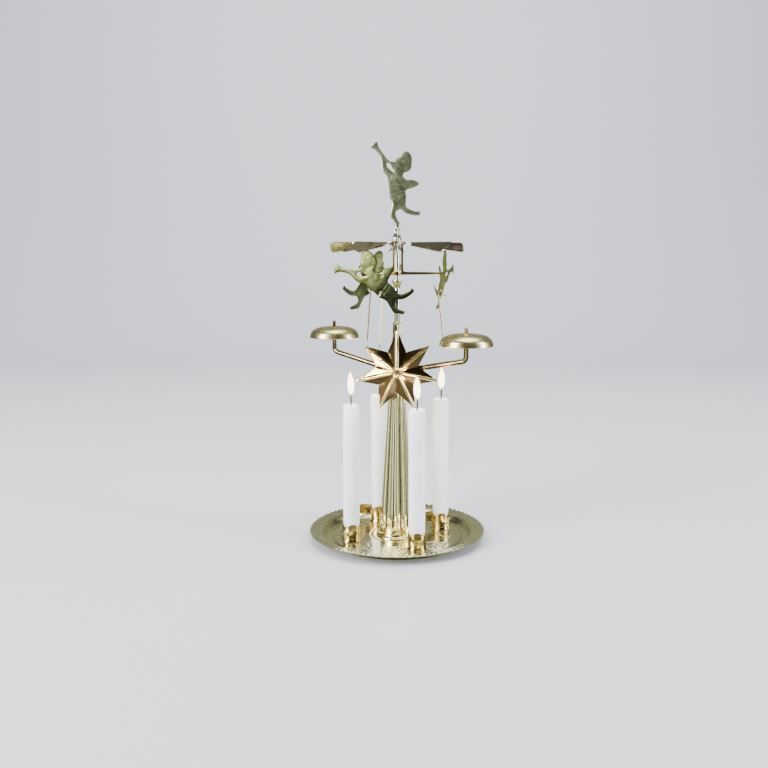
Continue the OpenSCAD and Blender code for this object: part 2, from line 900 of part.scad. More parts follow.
// The hard cup that rides on the needle's point
module pivot_bearing() {
    z = point_z + bearing_roof - bearing_h;
    tip_r = needle_d / 12;
    cone_z = point_z + point_gap;
    color("silver")
        rotate_extrude()
            polygon([
                [needle_d * 0.8, z],
                [bearing_d / 2, z],
                [bearing_d / 2, point_z + bearing_roof],
                [0, point_z + bearing_roof],
                [0, cone_z],
                [tip_r, cone_z]
            ]);
}

module hanger_ring() {
    color("goldenrod")
        translate([0, 0, hanger_z - hanger_w / 2])
            ring(ring_out_r, ring_r, hanger_w);
}

// A flat blank on edge: a foot under the hub, a leg beside the tube and an arm to the angel
module hanger(i) {
    end_r = angel_reach - sheet_t / 2 - seat_gap;
    low_z = hanger_z - hanger_w / 2;
    high_z = wheel_z - sheet_t;
    foot_h = strip_t * 1.5;
    color("goldenrod")
        in_radial_plane(hanger_turn + i * 360 / angel_count, strip_t)
            polygon([
                [leg_r, low_z],
                [end_r, low_z + hanger_w * 0.15],
                [end_r, low_z + hanger_w * 0.85],
                [leg_r + leg_w * 2, low_z + hanger_w],
                [leg_r + leg_w, low_z + hanger_w + leg_w],
                [leg_r + leg_w, high_z - 2 * foot_h],
                [leg_r + leg_w * 2, high_z - foot_h],
                [leg_r + leg_w * 2, high_z],
                [leg_r, high_z]
            ]);
}

module hanger_1() {
    hanger(0);
}

module hanger_2() {
    hanger(1);
}

module hanger_3() {
    hanger(2);
}

// The flat blank of the trumpeting figure, with its standing toe at the origin
module angel_blank() {
    difference() {
        polygon(smooth(angel_shares * angel_h));
        polygon(smooth(elbow_gap_shares * angel_h));
    }
}

module angel(i) {
    rotate([0, 0, hanger_turn + i * 360 / angel_count])
        translate([angel_reach, 0, hook_z])
            rotate([90, 0, 90])
                color("darkkhaki")
                    linear_extrude(sheet_t, center = true)
                        difference() {
                            rotate(angel_lean)
                                translate(-hook_share * angel_h)
                                    angel_blank();
                            circle(d = hook_hole_d);
                        }
}

module angel_1() {
    angel(0);
}

module angel_2() {
    angel(1);
}

module angel_3() {
    angel(2);
}

module top_angel() {
    tab_r = cap_top_d * 0.3;
    tab_top = angel_h * 0.03;
    color("darkkhaki")
        translate([0, 0, cap_top_z])
            rotate([90, 0, 0]) {
                translate([0, seat_gap, 0])
                    linear_extrude(sheet_t, center = true)
                        angel_blank();
                translate([-tab_r, seat_gap - foot_slot_h, -sheet_t / 2])
                    cube([2 * tab_r, foot_slot_h + tab_top, sheet_t]);
            }
}

// A wire hook through the angel's hole, open on its outer side, and a straight shank
module striker(i) {
    free_turn = 50;
    lean = atan((hook_r + striker_splay) / (striker_drop - hook_r));
    length = (striker_drop - hook_r) / cos(lean) - wire_d / 2;
    color("silver")
        rotate([0, 0, hanger_turn + i * 360 / angel_count])
            translate([angel_reach, 0, hook_z - hook_r]) {
                rotate([90, 0, 0])
                    rotate([0, 0, -free_turn])
                        rotate_extrude(angle = 180 + free_turn)
                            translate([hook_r, 0])
                                circle(d = wire_d, $fn = 24);
                translate([-hook_r, 0, 0]) {
                    sphere(d = wire_d, $fn = 24);
                    rotate([0, 180 - lean, 0]) {
                        cylinder(h = length, d = wire_d, $fn = 24);
                        translate([0, 0, length])
                            sphere(d = wire_d, $fn = 24);
                    }
                }
            }
}

module striker_1() {
    striker(0);
}

module striker_2() {
    striker(1);
}

module striker_3() {
    striker(2);
}

tray();
foot_cup();
column();
ferrule();
rod();
rod_nut();
tube();
stop_collar();
needle();
star();
star_spacer();
star_rivet();
arm_band();
arm_left();
arm_right();
arm_rivet_left();
arm_rivet_right();
bell_left();
bell_right();
clip_1();
clip_2();
clip_3();
clip_4();
candle_1();
candle_2();
candle_3();
candle_4();
wick_1();
wick_2();
wick_3();
wick_4();
vane_wheel();
crown_cap();
pivot_bearing();
hanger_ring();
hanger_1();
hanger_2();
hanger_3();
angel_1();
angel_2();
angel_3();
top_angel();
striker_1();
striker_2();
striker_3();
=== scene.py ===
# Candle chime: how it looks, piece by piece, in the order in which it goes together.
# Sizes in the sections are millimetres; a piece is scaled to metres as its mesh is made.
import math

import bmesh
import bpy
import numpy as np
from mathutils import Matrix, Vector, geometry


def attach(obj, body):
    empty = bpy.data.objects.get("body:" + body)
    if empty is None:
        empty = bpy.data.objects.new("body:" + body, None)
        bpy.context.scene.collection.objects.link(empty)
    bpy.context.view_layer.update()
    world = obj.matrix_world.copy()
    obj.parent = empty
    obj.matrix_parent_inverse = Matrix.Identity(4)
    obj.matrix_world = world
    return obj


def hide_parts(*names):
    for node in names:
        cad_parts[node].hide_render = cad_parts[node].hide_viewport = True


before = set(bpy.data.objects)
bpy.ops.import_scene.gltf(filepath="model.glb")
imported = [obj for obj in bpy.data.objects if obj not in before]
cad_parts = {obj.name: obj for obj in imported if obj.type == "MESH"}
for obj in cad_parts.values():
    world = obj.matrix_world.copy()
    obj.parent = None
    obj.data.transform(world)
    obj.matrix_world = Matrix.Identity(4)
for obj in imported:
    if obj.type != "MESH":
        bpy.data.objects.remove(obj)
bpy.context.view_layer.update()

MM = 0.001


# Floor, light and camera, in metres
# A pale floor runs back into a pale backdrop under soft boxes. As in a studio with black flags
# round the set, polished metal mirrors the boxes and a dim room, not the whole pale backdrop.
def feed(tree, node, values):
    """Give a node's inputs plain values or links, by name or by number."""
    for name, value in values.items():
        if isinstance(value, bpy.types.NodeSocket):
            tree.links.new(value, node.inputs[name])
        else:
            node.inputs[name].default_value = value
    return node


def shader_node(tree, kind, values=None, **settings):
    node = tree.nodes.new(kind)
    for name, value in settings.items():
        setattr(node, name, value)
    return feed(tree, node, values or {})


def new_finish(name):
    finish = bpy.data.materials.new(name)
    finish.use_nodes = True
    return finish, finish.node_tree, finish.node_tree.nodes["Principled BSDF"]


def by_ray(tree, ray, other, chosen):
    """Join two shaders: the chosen one for one kind of ray, the other for all the rest."""
    kind = shader_node(tree, "ShaderNodeLightPath").outputs[ray]
    return shader_node(tree, "ShaderNodeMixShader", {0: kind, 1: other, 2: chosen}).outputs[0]


def stage_sheet(name, line, half_width, seen, mirrored, roughness):
    """A sheet of the set from a line of (y, z), one colour to the eye and one in the metal."""
    mesh = bpy.data.meshes.new(name)
    points = [(side * half_width, y, z) for y, z in line for side in (-1, 1)]
    mesh.from_pydata(points, [], [(i, i + 1, i + 3, i + 2) for i in range(0, 2 * len(line) - 2, 2)])
    mesh.shade_smooth()
    paint, tree, shader = new_finish(name + "_paint")
    feed(tree, shader, {"Base Color": (*seen, 1), "Roughness": roughness})
    dim = shader_node(tree, "ShaderNodeBsdfDiffuse", {"Color": (*mirrored, 1)})
    both = by_ray(tree, "Is Glossy Ray", shader.outputs[0], dim.outputs[0])
    feed(tree, tree.nodes["Material Output"], {"Surface": both})
    mesh.materials.append(paint)
    sheet = bpy.data.objects.new(name, mesh)
    bpy.context.scene.collection.objects.link(sheet)


FLOOR_FRONT, FLOOR_HALF, BACKDROP_TOP = -3.0, 3.0, 3.5
BEND_Y, BEND_R, BEND_STEPS = 1.1, 0.9, 16
backdrop_line = [(FLOOR_FRONT, 0.0), (BEND_Y, 0.0)]
for turn in np.radians(np.arange(1, BEND_STEPS + 1) * 90 / BEND_STEPS):
    backdrop_line.append((BEND_Y + BEND_R * math.sin(turn), BEND_R * (1 - math.cos(turn))))
backdrop_line.append((BEND_Y + BEND_R, BACKDROP_TOP))
stage_sheet("pale_floor", backdrop_line, FLOOR_HALF, (0.73, 0.745, 0.785), (0.165, 0.17, 0.12), 0.6)


def hang_light(name, kind, place, aim, energy, colour, **settings):
    """A light turned to its aim and hidden from the camera."""
    light = bpy.data.lights.new(name, kind)
    light.energy, light.color = energy, colour
    for title, value in settings.items():
        setattr(light, title, value)
    lamp = bpy.data.objects.new(name, light)
    bpy.context.scene.collection.objects.link(lamp)
    lamp.location = place
    lamp.rotation_euler = (Vector(aim) - Vector(place)).to_track_quat("-Z", "Y").to_euler()
    lamp.visible_camera = False


CHIME_MIDDLE, BACKDROP_MIDDLE = (0, 0, 0.16), (0, 2.0, 0.7)
for name, place, aim, width, height, watts, colour in (
        ("left_box", (-1.15, -0.75, 0.75), CHIME_MIDDLE, 0.7, 1.1, 44, (1.0, 0.99, 0.98)),
        ("right_box", (1.3, -0.35, 0.55), CHIME_MIDDLE, 0.45, 1.2, 24, (0.93, 0.97, 1.0)),
        ("top_box", (0.1, 0.1, 1.5), CHIME_MIDDLE, 1.0, 1.0, 22, (1.0, 1.0, 1.0)),
        ("backdrop_box", (0, 0.7, 1.6), BACKDROP_MIDDLE, 2.2, 0.5, 16, (1.0, 1.0, 1.0))):
    hang_light(name, "AREA", place, aim, watts, colour, shape="RECTANGLE", size=width, size_y=height)

# Two narrow warm lamps put the candles' gleam on the star, as flames do in a darker room: one
# for each of the two facets that meet between its left folds
GLEAM_AT, GLEAM_COLOUR, GLEAM_ENERGY = Vector((-0.0105, -0.018, 0.1345)), (1.0, 0.93, 0.34), 33
GLEAM_LAMP_SHARE, GLEAM_W = 0.05, 0.09
for name, way, distance in (("upper_gleam", Vector((-0.403, -0.825, 0.397)), 0.5),
                            ("lower_gleam", Vector((-0.558, -0.713, -0.425)), 0.25)):
    hang_light(name, "SPOT", GLEAM_AT + way * distance, GLEAM_AT, GLEAM_ENERGY * distance ** 2,
               GLEAM_COLOUR, shadow_soft_size=GLEAM_LAMP_SHARE * distance,
               spot_size=GLEAM_W / distance, spot_blend=0.7)


def air(tree, colour, strength):
    return shader_node(tree, "ShaderNodeBackground", {"Color": (*colour, 1), "Strength": strength}).outputs[0]


room = bpy.data.worlds.new("dim_room")
room.use_nodes = True
air_tree = room.node_tree
lit_air = by_ray(air_tree, "Is Camera Ray", air(air_tree, (0.78, 0.82, 0.94), 0.56),
                 air(air_tree, (0.80, 0.82, 0.88), 0.72))
whole_air = by_ray(air_tree, "Is Glossy Ray", lit_air, air(air_tree, (0.045, 0.042, 0.036), 1.0))
feed(air_tree, air_tree.nodes["World Output"], {"Surface": whole_air})
bpy.context.scene.world = room

LENS_LENGTH, SENSOR_W, PICTURE_SIDE = 40.17, 36, 768
PIXELS_ASIDE, SHIFT_DOWN_SHARE = 13, 0.07
CAMERA_AT, CAMERA_DIP = (0, -0.6598, 0.219), 4.89
lens = bpy.data.cameras.new("lens")
lens.lens, lens.sensor_width = LENS_LENGTH, SENSOR_W
lens.shift_x, lens.shift_y = -PIXELS_ASIDE / PICTURE_SIDE, -SHIFT_DOWN_SHARE
camera = bpy.data.objects.new("camera", lens)
bpy.context.scene.collection.objects.link(camera)
camera.location = CAMERA_AT
camera.rotation_euler = (math.radians(90 - CAMERA_DIP), 0, 0)
bpy.context.scene.camera = camera


# Tray
# Pressed from thin tinplate and lacquered pale gold: a flat floor with a foot ring and a raised
# centre, scrolls and rings stamped into it, and a rim that is crimped all round.
def math_node(tree, operation, *values):
    return shader_node(tree, "ShaderNodeMath", dict(enumerate(values)), operation=operation).outputs[0]


def mixed_colour(tree, share, first, second):
    return shader_node(tree, "ShaderNodeMix", {0: share, 6: first, 7: second}, data_type="RGBA").outputs[2]


def ramp(tree, source, low, high):
    """0 below low, 1 above high and a soft step between them."""
    return shader_node(tree, "ShaderNodeMapRange", {0: source, 1: low, 2: high},
                       interpolation_type="SMOOTHSTEP").outputs[0]


def noise(tree, scale, detail=3.0, roughness=0.55, stretch=None):
    where = shader_node(tree, "ShaderNodeTexCoord").outputs["Object"]
    if stretch:
        where = shader_node(tree, "ShaderNodeMapping", {"Vector": where, "Scale": stretch}).outputs["Vector"]
    return shader_node(tree, "ShaderNodeTexNoise", {
        "Vector": where, "Scale": scale, "Detail": detail, "Roughness": roughness}).outputs["Fac"]


def attribute(tree, name):
    return shader_node(tree, "ShaderNodeAttribute", attribute_name=name).outputs["Fac"]


def bumped(tree, height, depth):
    return shader_node(tree, "ShaderNodeBump", {"Height": height, "Distance": depth}).outputs["Normal"]


def make_group(name, inputs, outputs):
    """An effect group; each input takes its kind from its value."""
    group = bpy.data.node_groups.new(name, "ShaderNodeTree")
    for title, value in inputs.items():
        kind = "NodeSocketColor" if isinstance(value, tuple) else "NodeSocketFloat"
        group.interface.new_socket(title, in_out="INPUT", socket_type=kind).default_value = value
    for title, kind in outputs.items():
        group.interface.new_socket(title, in_out="OUTPUT", socket_type=kind)
    return group, shader_node(group, "NodeGroupInput").outputs, shader_node(group, "NodeGroupOutput")


# Uneven lacquer and painted light: cloudy colour, fingermarks in the gloss, painted shade where the
# metal is pressed in, and a painted light share that mixes a shaded copy of the metal with a lit one
def lacquer_and_shade_group():
    tree, given, result = make_group(
        "uneven_lacquer_and_painted_shade",
        {"Metal": (0.8, 0.6, 0.3, 1), "Shaded metal": (0.1, 0.08, 0.04, 1), "Painted light": 1.0,
         "Tarnish and shade": (0.3, 0.2, 0.08, 1), "Cloud size": 60.0, "Cloud share": 0.3,
         "Gloss low": 0.12, "Gloss high": 0.3, "Recess": 0.0},
        {"Colour": "NodeSocketColor", "Roughness": "NodeSocketFloat"})
    cloud = ramp(tree, noise(tree, given["Cloud size"], 5.0, 0.6), 0.38, 0.72)
    # painted shade: the marks darken the metal towards the tarnish colour and make it rougher
    recess = math_node(tree, "MULTIPLY", given["Recess"], 0.9)
    tarnish_and_shade = math_node(tree, "MAXIMUM", math_node(tree, "MULTIPLY", cloud, given["Cloud share"]), recess)
    # painted light: a shaded copy of the metal where the share is low, the lit metal where it is high
    toned = mixed_colour(tree, given["Painted light"], given["Shaded metal"], given["Metal"])
    smudge = ramp(tree, noise(tree, 130.0, 4.0, 0.7), 0.35, 0.75)
    span = math_node(tree, "SUBTRACT", given["Gloss high"], given["Gloss low"])
    gloss = math_node(tree, "MULTIPLY_ADD", smudge, span, given["Gloss low"])
    feed(tree, result, {"Colour": mixed_colour(tree, tarnish_and_shade, toned, given["Tarnish and shade"]),
                        "Roughness": math_node(tree, "MULTIPLY_ADD", recess, 0.25, gloss)})
    return tree


# Surface that is never quite flat: slow waves from the rollers and a fine grain on top
def sheet_group():
    tree, given, result = make_group(
        "sheet_surface", {"Wave size": 80.0, "Wave height": 0.3, "Grain size": 900.0, "Grain height": 0.05},
        {"Height": "NodeSocketFloat"})
    wave = math_node(tree, "MULTIPLY", noise(tree, given["Wave size"], 1.0, 0.4), given["Wave height"])
    grain = noise(tree, given["Grain size"], 3.0, 0.6)
    feed(tree, result, {"Height": math_node(tree, "MULTIPLY_ADD", grain, given["Grain height"], wave)})
    return tree


lacquer_and_shade, sheet_surface = lacquer_and_shade_group(), sheet_group()
METAL_BUMP = 0.0004


def metal(name, colour, tarnish_and_shade, clouds=(60, 0.3), gloss=(0.12, 0.3), waves=(40, 0.3),
          grain=(1500, 0.01), shaded=None):
    """A metal finish from the two sheet effects; a piece's marks paint shade into its hollows, and its shares
    of painted light mix a lit and a shaded copy of the metal.
    """
    finish, tree, shader = new_finish(name)
    skin = shader_node(tree, "ShaderNodeGroup", {
        "Metal": (*colour, 1), "Tarnish and shade": (*tarnish_and_shade, 1), "Recess": attribute(tree, "recess"),
        "Cloud size": clouds[0], "Cloud share": clouds[1],
        "Gloss low": gloss[0], "Gloss high": gloss[1]}, node_tree=lacquer_and_shade)
    if shaded:
        feed(tree, skin, {"Shaded metal": (*shaded, 1), "Painted light": attribute(tree, "painted_light")})
    surface = shader_node(tree, "ShaderNodeGroup", {
        "Wave size": waves[0], "Wave height": waves[1],
        "Grain size": grain[0], "Grain height": grain[1]}, node_tree=sheet_surface)
    feed(tree, shader, {"Metallic": 1.0, "Base Color": skin.outputs["Colour"],
                        "Roughness": skin.outputs["Roughness"],
                        "Normal": bumped(tree, surface.outputs["Height"], METAL_BUMP)})
    return finish


def piece(name, points, faces, finish, slot, body, stands_for=(), crease=32, marks=None, painted_light_shares=None):
    """A mesh from points in millimetres, with its finish, on the body that carries it."""
    mesh = bpy.data.meshes.new(name)
    mesh.from_pydata((np.asarray(points, float) * MM).tolist(), [], faces)
    # A piece's marks paint shade into its hollows (a flame's marks are its heat instead), and its other
    # shares paint light and shade on it as lit and shaded copies of its metal
    for title, values in (("recess", marks), ("painted_light", painted_light_shares)):
        if values is not None:
            mesh.attributes.new(title, "FLOAT", "POINT").data.foreach_set(
                "value", np.asarray(values, np.float32))
    made = bmesh.new()
    made.from_mesh(mesh)
    bmesh.ops.remove_doubles(made, verts=made.verts, dist=1e-6)
    bmesh.ops.recalc_face_normals(made, faces=made.faces)
    made.to_mesh(mesh)
    made.free()
    mesh.shade_smooth()
    mesh.set_sharp_from_angle(angle=math.radians(crease))
    mesh.materials.append(finish)
    thing = bpy.data.objects.new(name, mesh)
    bpy.context.scene.collection.objects.link(thing)
    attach(thing, body)
    if stands_for:
        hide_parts(*stands_for)


def grid_faces(rows, cols, wrap_rows=False, wrap_cols=True, start=0):
    """Quads over a grid of points, row by row; a wrapped side joins back to its start."""
    faces = []
    for i in range(rows if wrap_rows else rows - 1):
        for j in range(cols if wrap_cols else cols - 1):
            k, m = (i + 1) % rows, (j + 1) % cols
            faces.append((start + i * cols + j, start + i * cols + m,
                          start + k * cols + m, start + k * cols + j))
    return faces


def full_turn(steps):
    return np.arange(steps) * 2 * math.pi / steps


SCROLL_R, SCROLL_ASIDE, SCROLL_HALF_TURNS, CURL_SHARE, LINE_HALF = 3.4, 4.0, 2.2, 0.82, 0.62
# Stems of a scroll: where each starts and how far it runs, outwards and aside, and its bend
STEMS = ((-2.4, -4.0, 4.0, -3.6, 1.5), (1.6, 4.4, 7.2, -6.6, 0.5))


def scroll_height(x, y):
    """Depth of one stamped scroll pair, with x along the radius from the motif's middle."""
    best = np.full(x.shape, 9.0)
    turn, stem = np.linspace(0, 1, 70), np.linspace(0, 1, 24)
    angle, reach = turn * SCROLL_HALF_TURNS * math.pi, SCROLL_R * (1 - CURL_SHARE * turn)
    for side in (-1, 1):
        line_x = [1.0 - reach * np.cos(angle)]
        line_y = [side * (SCROLL_ASIDE - reach * np.sin(angle))]
        for out, run, aside, inwards, bend in STEMS:
            line_x.append(out + run * stem)
            line_y.append(side * (aside + inwards * stem ** bend))
        for px, py in zip(np.concatenate(line_x), np.concatenate(line_y)):
            best = np.minimum(best, np.hypot(x - px, y - py))
    return np.clip(1.25 - best / LINE_HALF, 0, 1) ** 0.8


SHEET, CRIMPS, MOTIFS = 0.5, 90, 8
BORE_R, CRIMP_R, CRIMP_DEPTH, CRIMP_RISE = 1.25, 67.9, 0.6, 0.3
TRAY_LINE = ((BORE_R, 4.7), (10.6, 4.7), (11.6, 4.1), (12.3, 2.1), (13.2, 1.7), (50.0, 1.7), (51.4, 0.5),
             (54.7, 0.5), (56.1, 2.25), (57.8, 5.0), (59.4, 5.85), (64.0, 6.45), (CRIMP_R, 6.7))
# Bands of the tray from the middle out, each with its number of rows
BANDS = ((BORE_R, 10, 8), (10, 14, 22), (14, 30, 26), (30, 50, 58), (50, 60, 52), (60, CRIMP_R, 36))
SOFTEN = (-0.35, -0.15, 0, 0.15, 0.35)
MOTIF_R, MOTIF_FROM, MOTIF_TO, MOTIF_LONG, MOTIF_WIDE = 40.5, 28, 49.8, 1.4, 1.8
RAY_R, RAY_HALF, PAINTED_LIGHT_R, RINGS = 62.6, 2.4, 68, ((58.9, 0.6), (20.5, 0.9))
SCROLL_DEPTH, RAY_DEPTH, RING_DEPTH = 0.26, 0.25, 0.3
EDGE_R, EDGE_W, TRAY_TOP, LIT_R, LIT_W = 65.2, 2.7, 7.0, 67.2, 0.6
steps = CRIMPS * 8
radii = np.unique(np.concatenate([np.linspace(*band) for band in BANDS]))
heights = sum(np.interp(radii + shift, *zip(*TRAY_LINE)) for shift in SOFTEN) / len(SOFTEN)
R, A = np.meshgrid(radii, full_turn(steps), indexing="ij")
Z = np.repeat(heights[:, None], steps, 1)
local = (A + math.pi / MOTIFS) % (2 * math.pi / MOTIFS) - math.pi / MOTIFS
scrolls = scroll_height((R - MOTIF_R) / MOTIF_LONG, R * local / MOTIF_WIDE)
scrolls *= (R > MOTIF_FROM) & (R < MOTIF_TO)
rays = np.clip(np.cos(CRIMPS / 2 * A) ** 2 * 3 - 2, 0, 1)
rays *= np.clip(1 - abs(R - RAY_R) / RAY_HALF, 0, 1) ** 0.5
rings = sum(np.clip(1 - abs(R - r) / half, 0, 1) for r, half in RINGS)
edge, crimp = np.clip((R - EDGE_R) / EDGE_W, 0, 1), np.cos(CRIMPS * A)
Z += CRIMP_RISE * edge * crimp - SCROLL_DEPTH * scrolls - RAY_DEPTH * rays - RING_DEPTH * rings
R = R + CRIMP_DEPTH * edge ** 2 * crimp
upper = np.stack([R * np.cos(A), R * np.sin(A), np.minimum(Z, TRAY_TOP)], -1)
under = upper - (0, 0, SHEET)
under[..., 2] = np.maximum(under[..., 2], 0)
# Painted shade darkens the stamped scrolls, rays and rings and the crimp's valleys; painted light makes the
# tray lighter towards the front and puts a painted highlight on the rim's outer edge
tray_painted_shade = np.clip(0.45 * scrolls + 0.6 * rays + 0.6 * rings + 0.9 * edge * (crimp < -0.3), 0, 1)
tray_painted_light = np.clip(0.5 - 0.5 * R * np.sin(A) / PAINTED_LIGHT_R + 0.6 * np.clip((R - LIT_R) / LIT_W, 0, 1), 0, 1)
tray_gold = metal("tray_gold", (1.0, 0.98, 0.70), (0.22, 0.19, 0.06), clouds=(30, 0.15),
                  gloss=(0.17, 0.27), waves=(60, 0.12), grain=(1500, 0.008), shaded=(0.86, 0.82, 0.50))
piece("pressed_tray", np.concatenate([upper, under[::-1]]).reshape(-1, 3),
      grid_faces(2 * len(radii), steps, wrap_rows=True), tray_gold, "lacquered_tin", "base", ["tray"],
      marks=np.concatenate([tray_painted_shade, tray_painted_shade[::-1]]).ravel(),
      painted_light_shares=np.concatenate([tray_painted_light, tray_painted_light[::-1]]).ravel())


# Foot and column
# The column is a tall cone of rolled sheet with twelve sharp flutes. It stands in a spun cup, and
# a rod down its middle, screwed up under the tray, holds cup, column and ferrule together.
def eased(line, radius=0.12, closed=False):
    """A line with each corner cut by a short curve, so that edges catch the light."""
    line = [Vector(p) for p in line]
    count = len(line)
    out = []
    for i, corner in enumerate(line):
        if not closed and i in (0, count - 1):
            out.append(tuple(corner))
            continue
        before, after = line[i - 1] - corner, line[(i + 1) % count] - corner
        cut = min(radius, before.length * 0.45, after.length * 0.45)
        start, end = corner + before.normalized() * cut, corner + after.normalized() * cut
        for share in (0, 0.25, 0.5, 0.75, 1):
            out.append(tuple(start.lerp(corner, share).lerp(corner.lerp(end, share), share)))
    return out


def ring_points(angles, radius, height, middle=(0, 0)):
    """Points round an upright axis, whose radius and height may change on the way round."""
    return list(np.stack(np.broadcast_arrays(
        middle[0] + radius * np.cos(angles), middle[1] + radius * np.sin(angles), height), -1))


def turned(name, line, finish, slot, stands_for, body="base", middle=(0, 0), closed=True,
           steps=96, crease=32, ease=0.12):
    """A piece spun or turned from a line of (radius, height)."""
    line = eased(line, ease, closed)
    points = [p for r, z in line for p in ring_points(full_turn(steps), r, z, middle)]
    faces = grid_faces(len(line), steps, wrap_rows=closed)
    piece(name, points, faces, finish, slot, body, stands_for, crease)


def thickened(line, t):
    """A closed outline from an open line, with its thickness to the line's left."""
    line = [Vector(p) for p in line]
    back = []
    for i, p in enumerate(line):
        before = (line[max(i, 1)] - line[max(i, 1) - 1]).normalized()
        after = (line[min(i + 1, len(line) - 1)] - line[min(i, len(line) - 2)]).normalized()
        square = Vector((-before.y, before.x))
        side = (square + Vector((-after.y, after.x))).normalized()
        back.append(tuple(p + side * t / max(side.dot(square), 0.4)))
    return [tuple(p) for p in line] + back[::-1]


def curved(points, per=6, closed=False):
    """A smooth line through points; a closed one runs back to its start."""
    points = np.array(points, float)
    count = len(points)
    out = []
    for i in range(count if closed else count - 1):
        near = [(i + k) % count if closed else min(max(i + k, 0), count - 1) for k in (-1, 0, 1, 2)]
        a, b, c, d = points[near]
        for u in np.arange(per) / per:
            out.append((b * 2 + (c - a) * u + (a * 2 - b * 5 + c * 4 - d) * u ** 2
                        + (b * 3 - a - c * 3 + d) * u ** 3) / 2)
    if not closed:
        out.append(points[-1])
    return [tuple(p) for p in out]


column_gold = metal("column_gold", (1.0, 0.95, 0.60), (0.04, 0.04, 0.015), clouds=(30, 0.05),
                    gloss=(0.04, 0.09), waves=(25, 0.2), grain=(1500, 0.004))
cup_gold = metal("cup_gold", (0.92, 0.84, 0.42), (0.34, 0.28, 0.08), clouds=(60, 0.2),
                 gloss=(0.1, 0.2), waves=(50, 0.15))
COLUMN_FOOT, COLUMN_HEAD, FLOOR_Z = (13.0, 10.0), (3.0, 167.0), 1.7
cup_line = [(16.3, FLOOR_Z), (16.3, 2.45)] + curved([(15.9, 2.75), (14.5, 3.3), (13.85, 4.6), (13.7, 6.2)])
cup_line += [(13.7, 6.3), (13.45, 6.5), (13.45, 6.8), (13.65, 7.0), (13.5, COLUMN_FOOT[1]),
             (BORE_R, COLUMN_FOOT[1])]
turned("spun_foot_cup", thickened(cup_line, SHEET), cup_gold, "polished_gold", ["foot_cup"],
       crease=40, ease=0.1)

FLUTES, FLUTE_SHARE, FLUTE_BEND, FLUTE_STEPS, COLUMN_ROWS = 12, 0.13, 0.95, 24, 30
angle = full_turn(FLUTES * FLUTE_STEPS)
fluted = 1 - FLUTE_SHARE * (1 - np.abs(np.cos(angle * FLUTES / 2))) ** FLUTE_BEND
# Painted shade: the flutes' valleys are darkened, and made rougher
dulled_and_shaded = list(np.clip(1.6 - (fluted - fluted.min()) / 0.045, 0, 1))
column_points = []
for wall, shares in ((0, np.linspace(0, 1, COLUMN_ROWS)), (SHEET, np.linspace(1, 0, COLUMN_ROWS))):
    for share in shares:
        r, z = (foot + (head - foot) * share for foot, head in zip(COLUMN_FOOT, COLUMN_HEAD))
        column_points += ring_points(angle, (r - wall) * fluted, z)
piece("fluted_column", column_points, grid_faces(2 * COLUMN_ROWS, len(angle), wrap_rows=True), column_gold,
      "polished_gold", "base", ["column"], crease=25, marks=dulled_and_shaded * (2 * COLUMN_ROWS))
FERRULE_TOP = 169.2
turned("turned_ferrule", [(BORE_R, COLUMN_HEAD[1]), COLUMN_HEAD, (3.3, 167.3), (3.3, 168.1),
                          (2.45, FERRULE_TOP), (BORE_R, FERRULE_TOP)], cup_gold, "polished_gold", ["ferrule"])


# Tube, stop and needle
# A drawn steel tube sits on the ferrule and steps down to a thinner one that holds the needle.
# The brass stop flares out below the hangers and catches the wheel if it drops.
def refinish(finish, *names):
    """Give small solids, which are seen as they are or not at all, a finish of their own."""
    for name in names:
        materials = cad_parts[name].data.materials
        materials.clear()
        materials.append(finish)


bright_steel = metal("bright_steel", (0.93, 0.93, 0.92), (0.46, 0.44, 0.40), clouds=(90, 0.15),
                     gloss=(0.06, 0.15), waves=(60, 0.1), grain=(1500, 0.004))
NEEDLE_R, STEP_Z, TUBE_TOP = 0.67, 195.2, 223.3
turned("drawn_tube", [(NEEDLE_R, FERRULE_TOP), (2.15, FERRULE_TOP), (2.15, STEP_Z), (1.85, STEP_Z),
                      (1.85, 222.9), (1.55, TUBE_TOP), (NEEDLE_R, TUBE_TOP)],
       bright_steel, "bright_steel", ["tube"])
turned("flared_stop", [(1.87, STEP_Z), (2.45, STEP_Z), (2.7, 197.2), (3.17, 198.9), (3.9, 200.2),
                       (3.75, 200.9), (3.3, 200.9), (2.4, 199.2), (1.87, 199.2)],
       cup_gold, "polished_gold", ["stop_collar"])
turned("ground_needle", [(0, 216.0), (0.65, 216.0), (0.65, 234.4), (0.12, 237.8), (0, 237.8)],
       bright_steel, "bright_steel", ["needle"], closed=False, ease=0.03)
refinish(bright_steel, "rod", "rod_nut", "pivot_bearing")


# Star
# Seven points folded from one polished blank. Each point is creased to a rounded ridge, and one
# rivet through a spacer holds the star off the column's band.
# Painted reflection: the facets' gold is painted a dark brown, as a dim room mirrored in them shows it, and
# the beads on the folds a bright gold, a painted highlight
star_gold_painted_dark = metal("star_gold_painted_dark", (0.29, 0.20, 0.11), (0.05, 0.025, 0.025), clouds=(35, 0.3),
                  gloss=(0.12, 0.18), waves=(30, 0.3), grain=(1500, 0.004))
ridge_gold_painted_bright = metal("ridge_gold_painted_bright", (0.98, 0.86, 0.42), (0.60, 0.44, 0.20), clouds=(90, 0.15),
                   gloss=(0.14, 0.24), waves=(60, 0.1), grain=(1500, 0.004))
STAR_R, NOTCH_R, STAR_DEPTH, STAR_POINTS = 31.5, 16.5, 4.5, 7
STAR_Y, STAR_Z = -13.89, 132.3
RIDGE_HALF, RIDGE_RISE, HOLE_R, BELLY = 1.2, 0.35, 0.85, 0.12
BESIDE_FOLD, FACET_SHARES = (0, 0.4, 0.8, 1.1, 1.35, 1.6, 2.1), (0.25, 0.5, 0.75, 1)
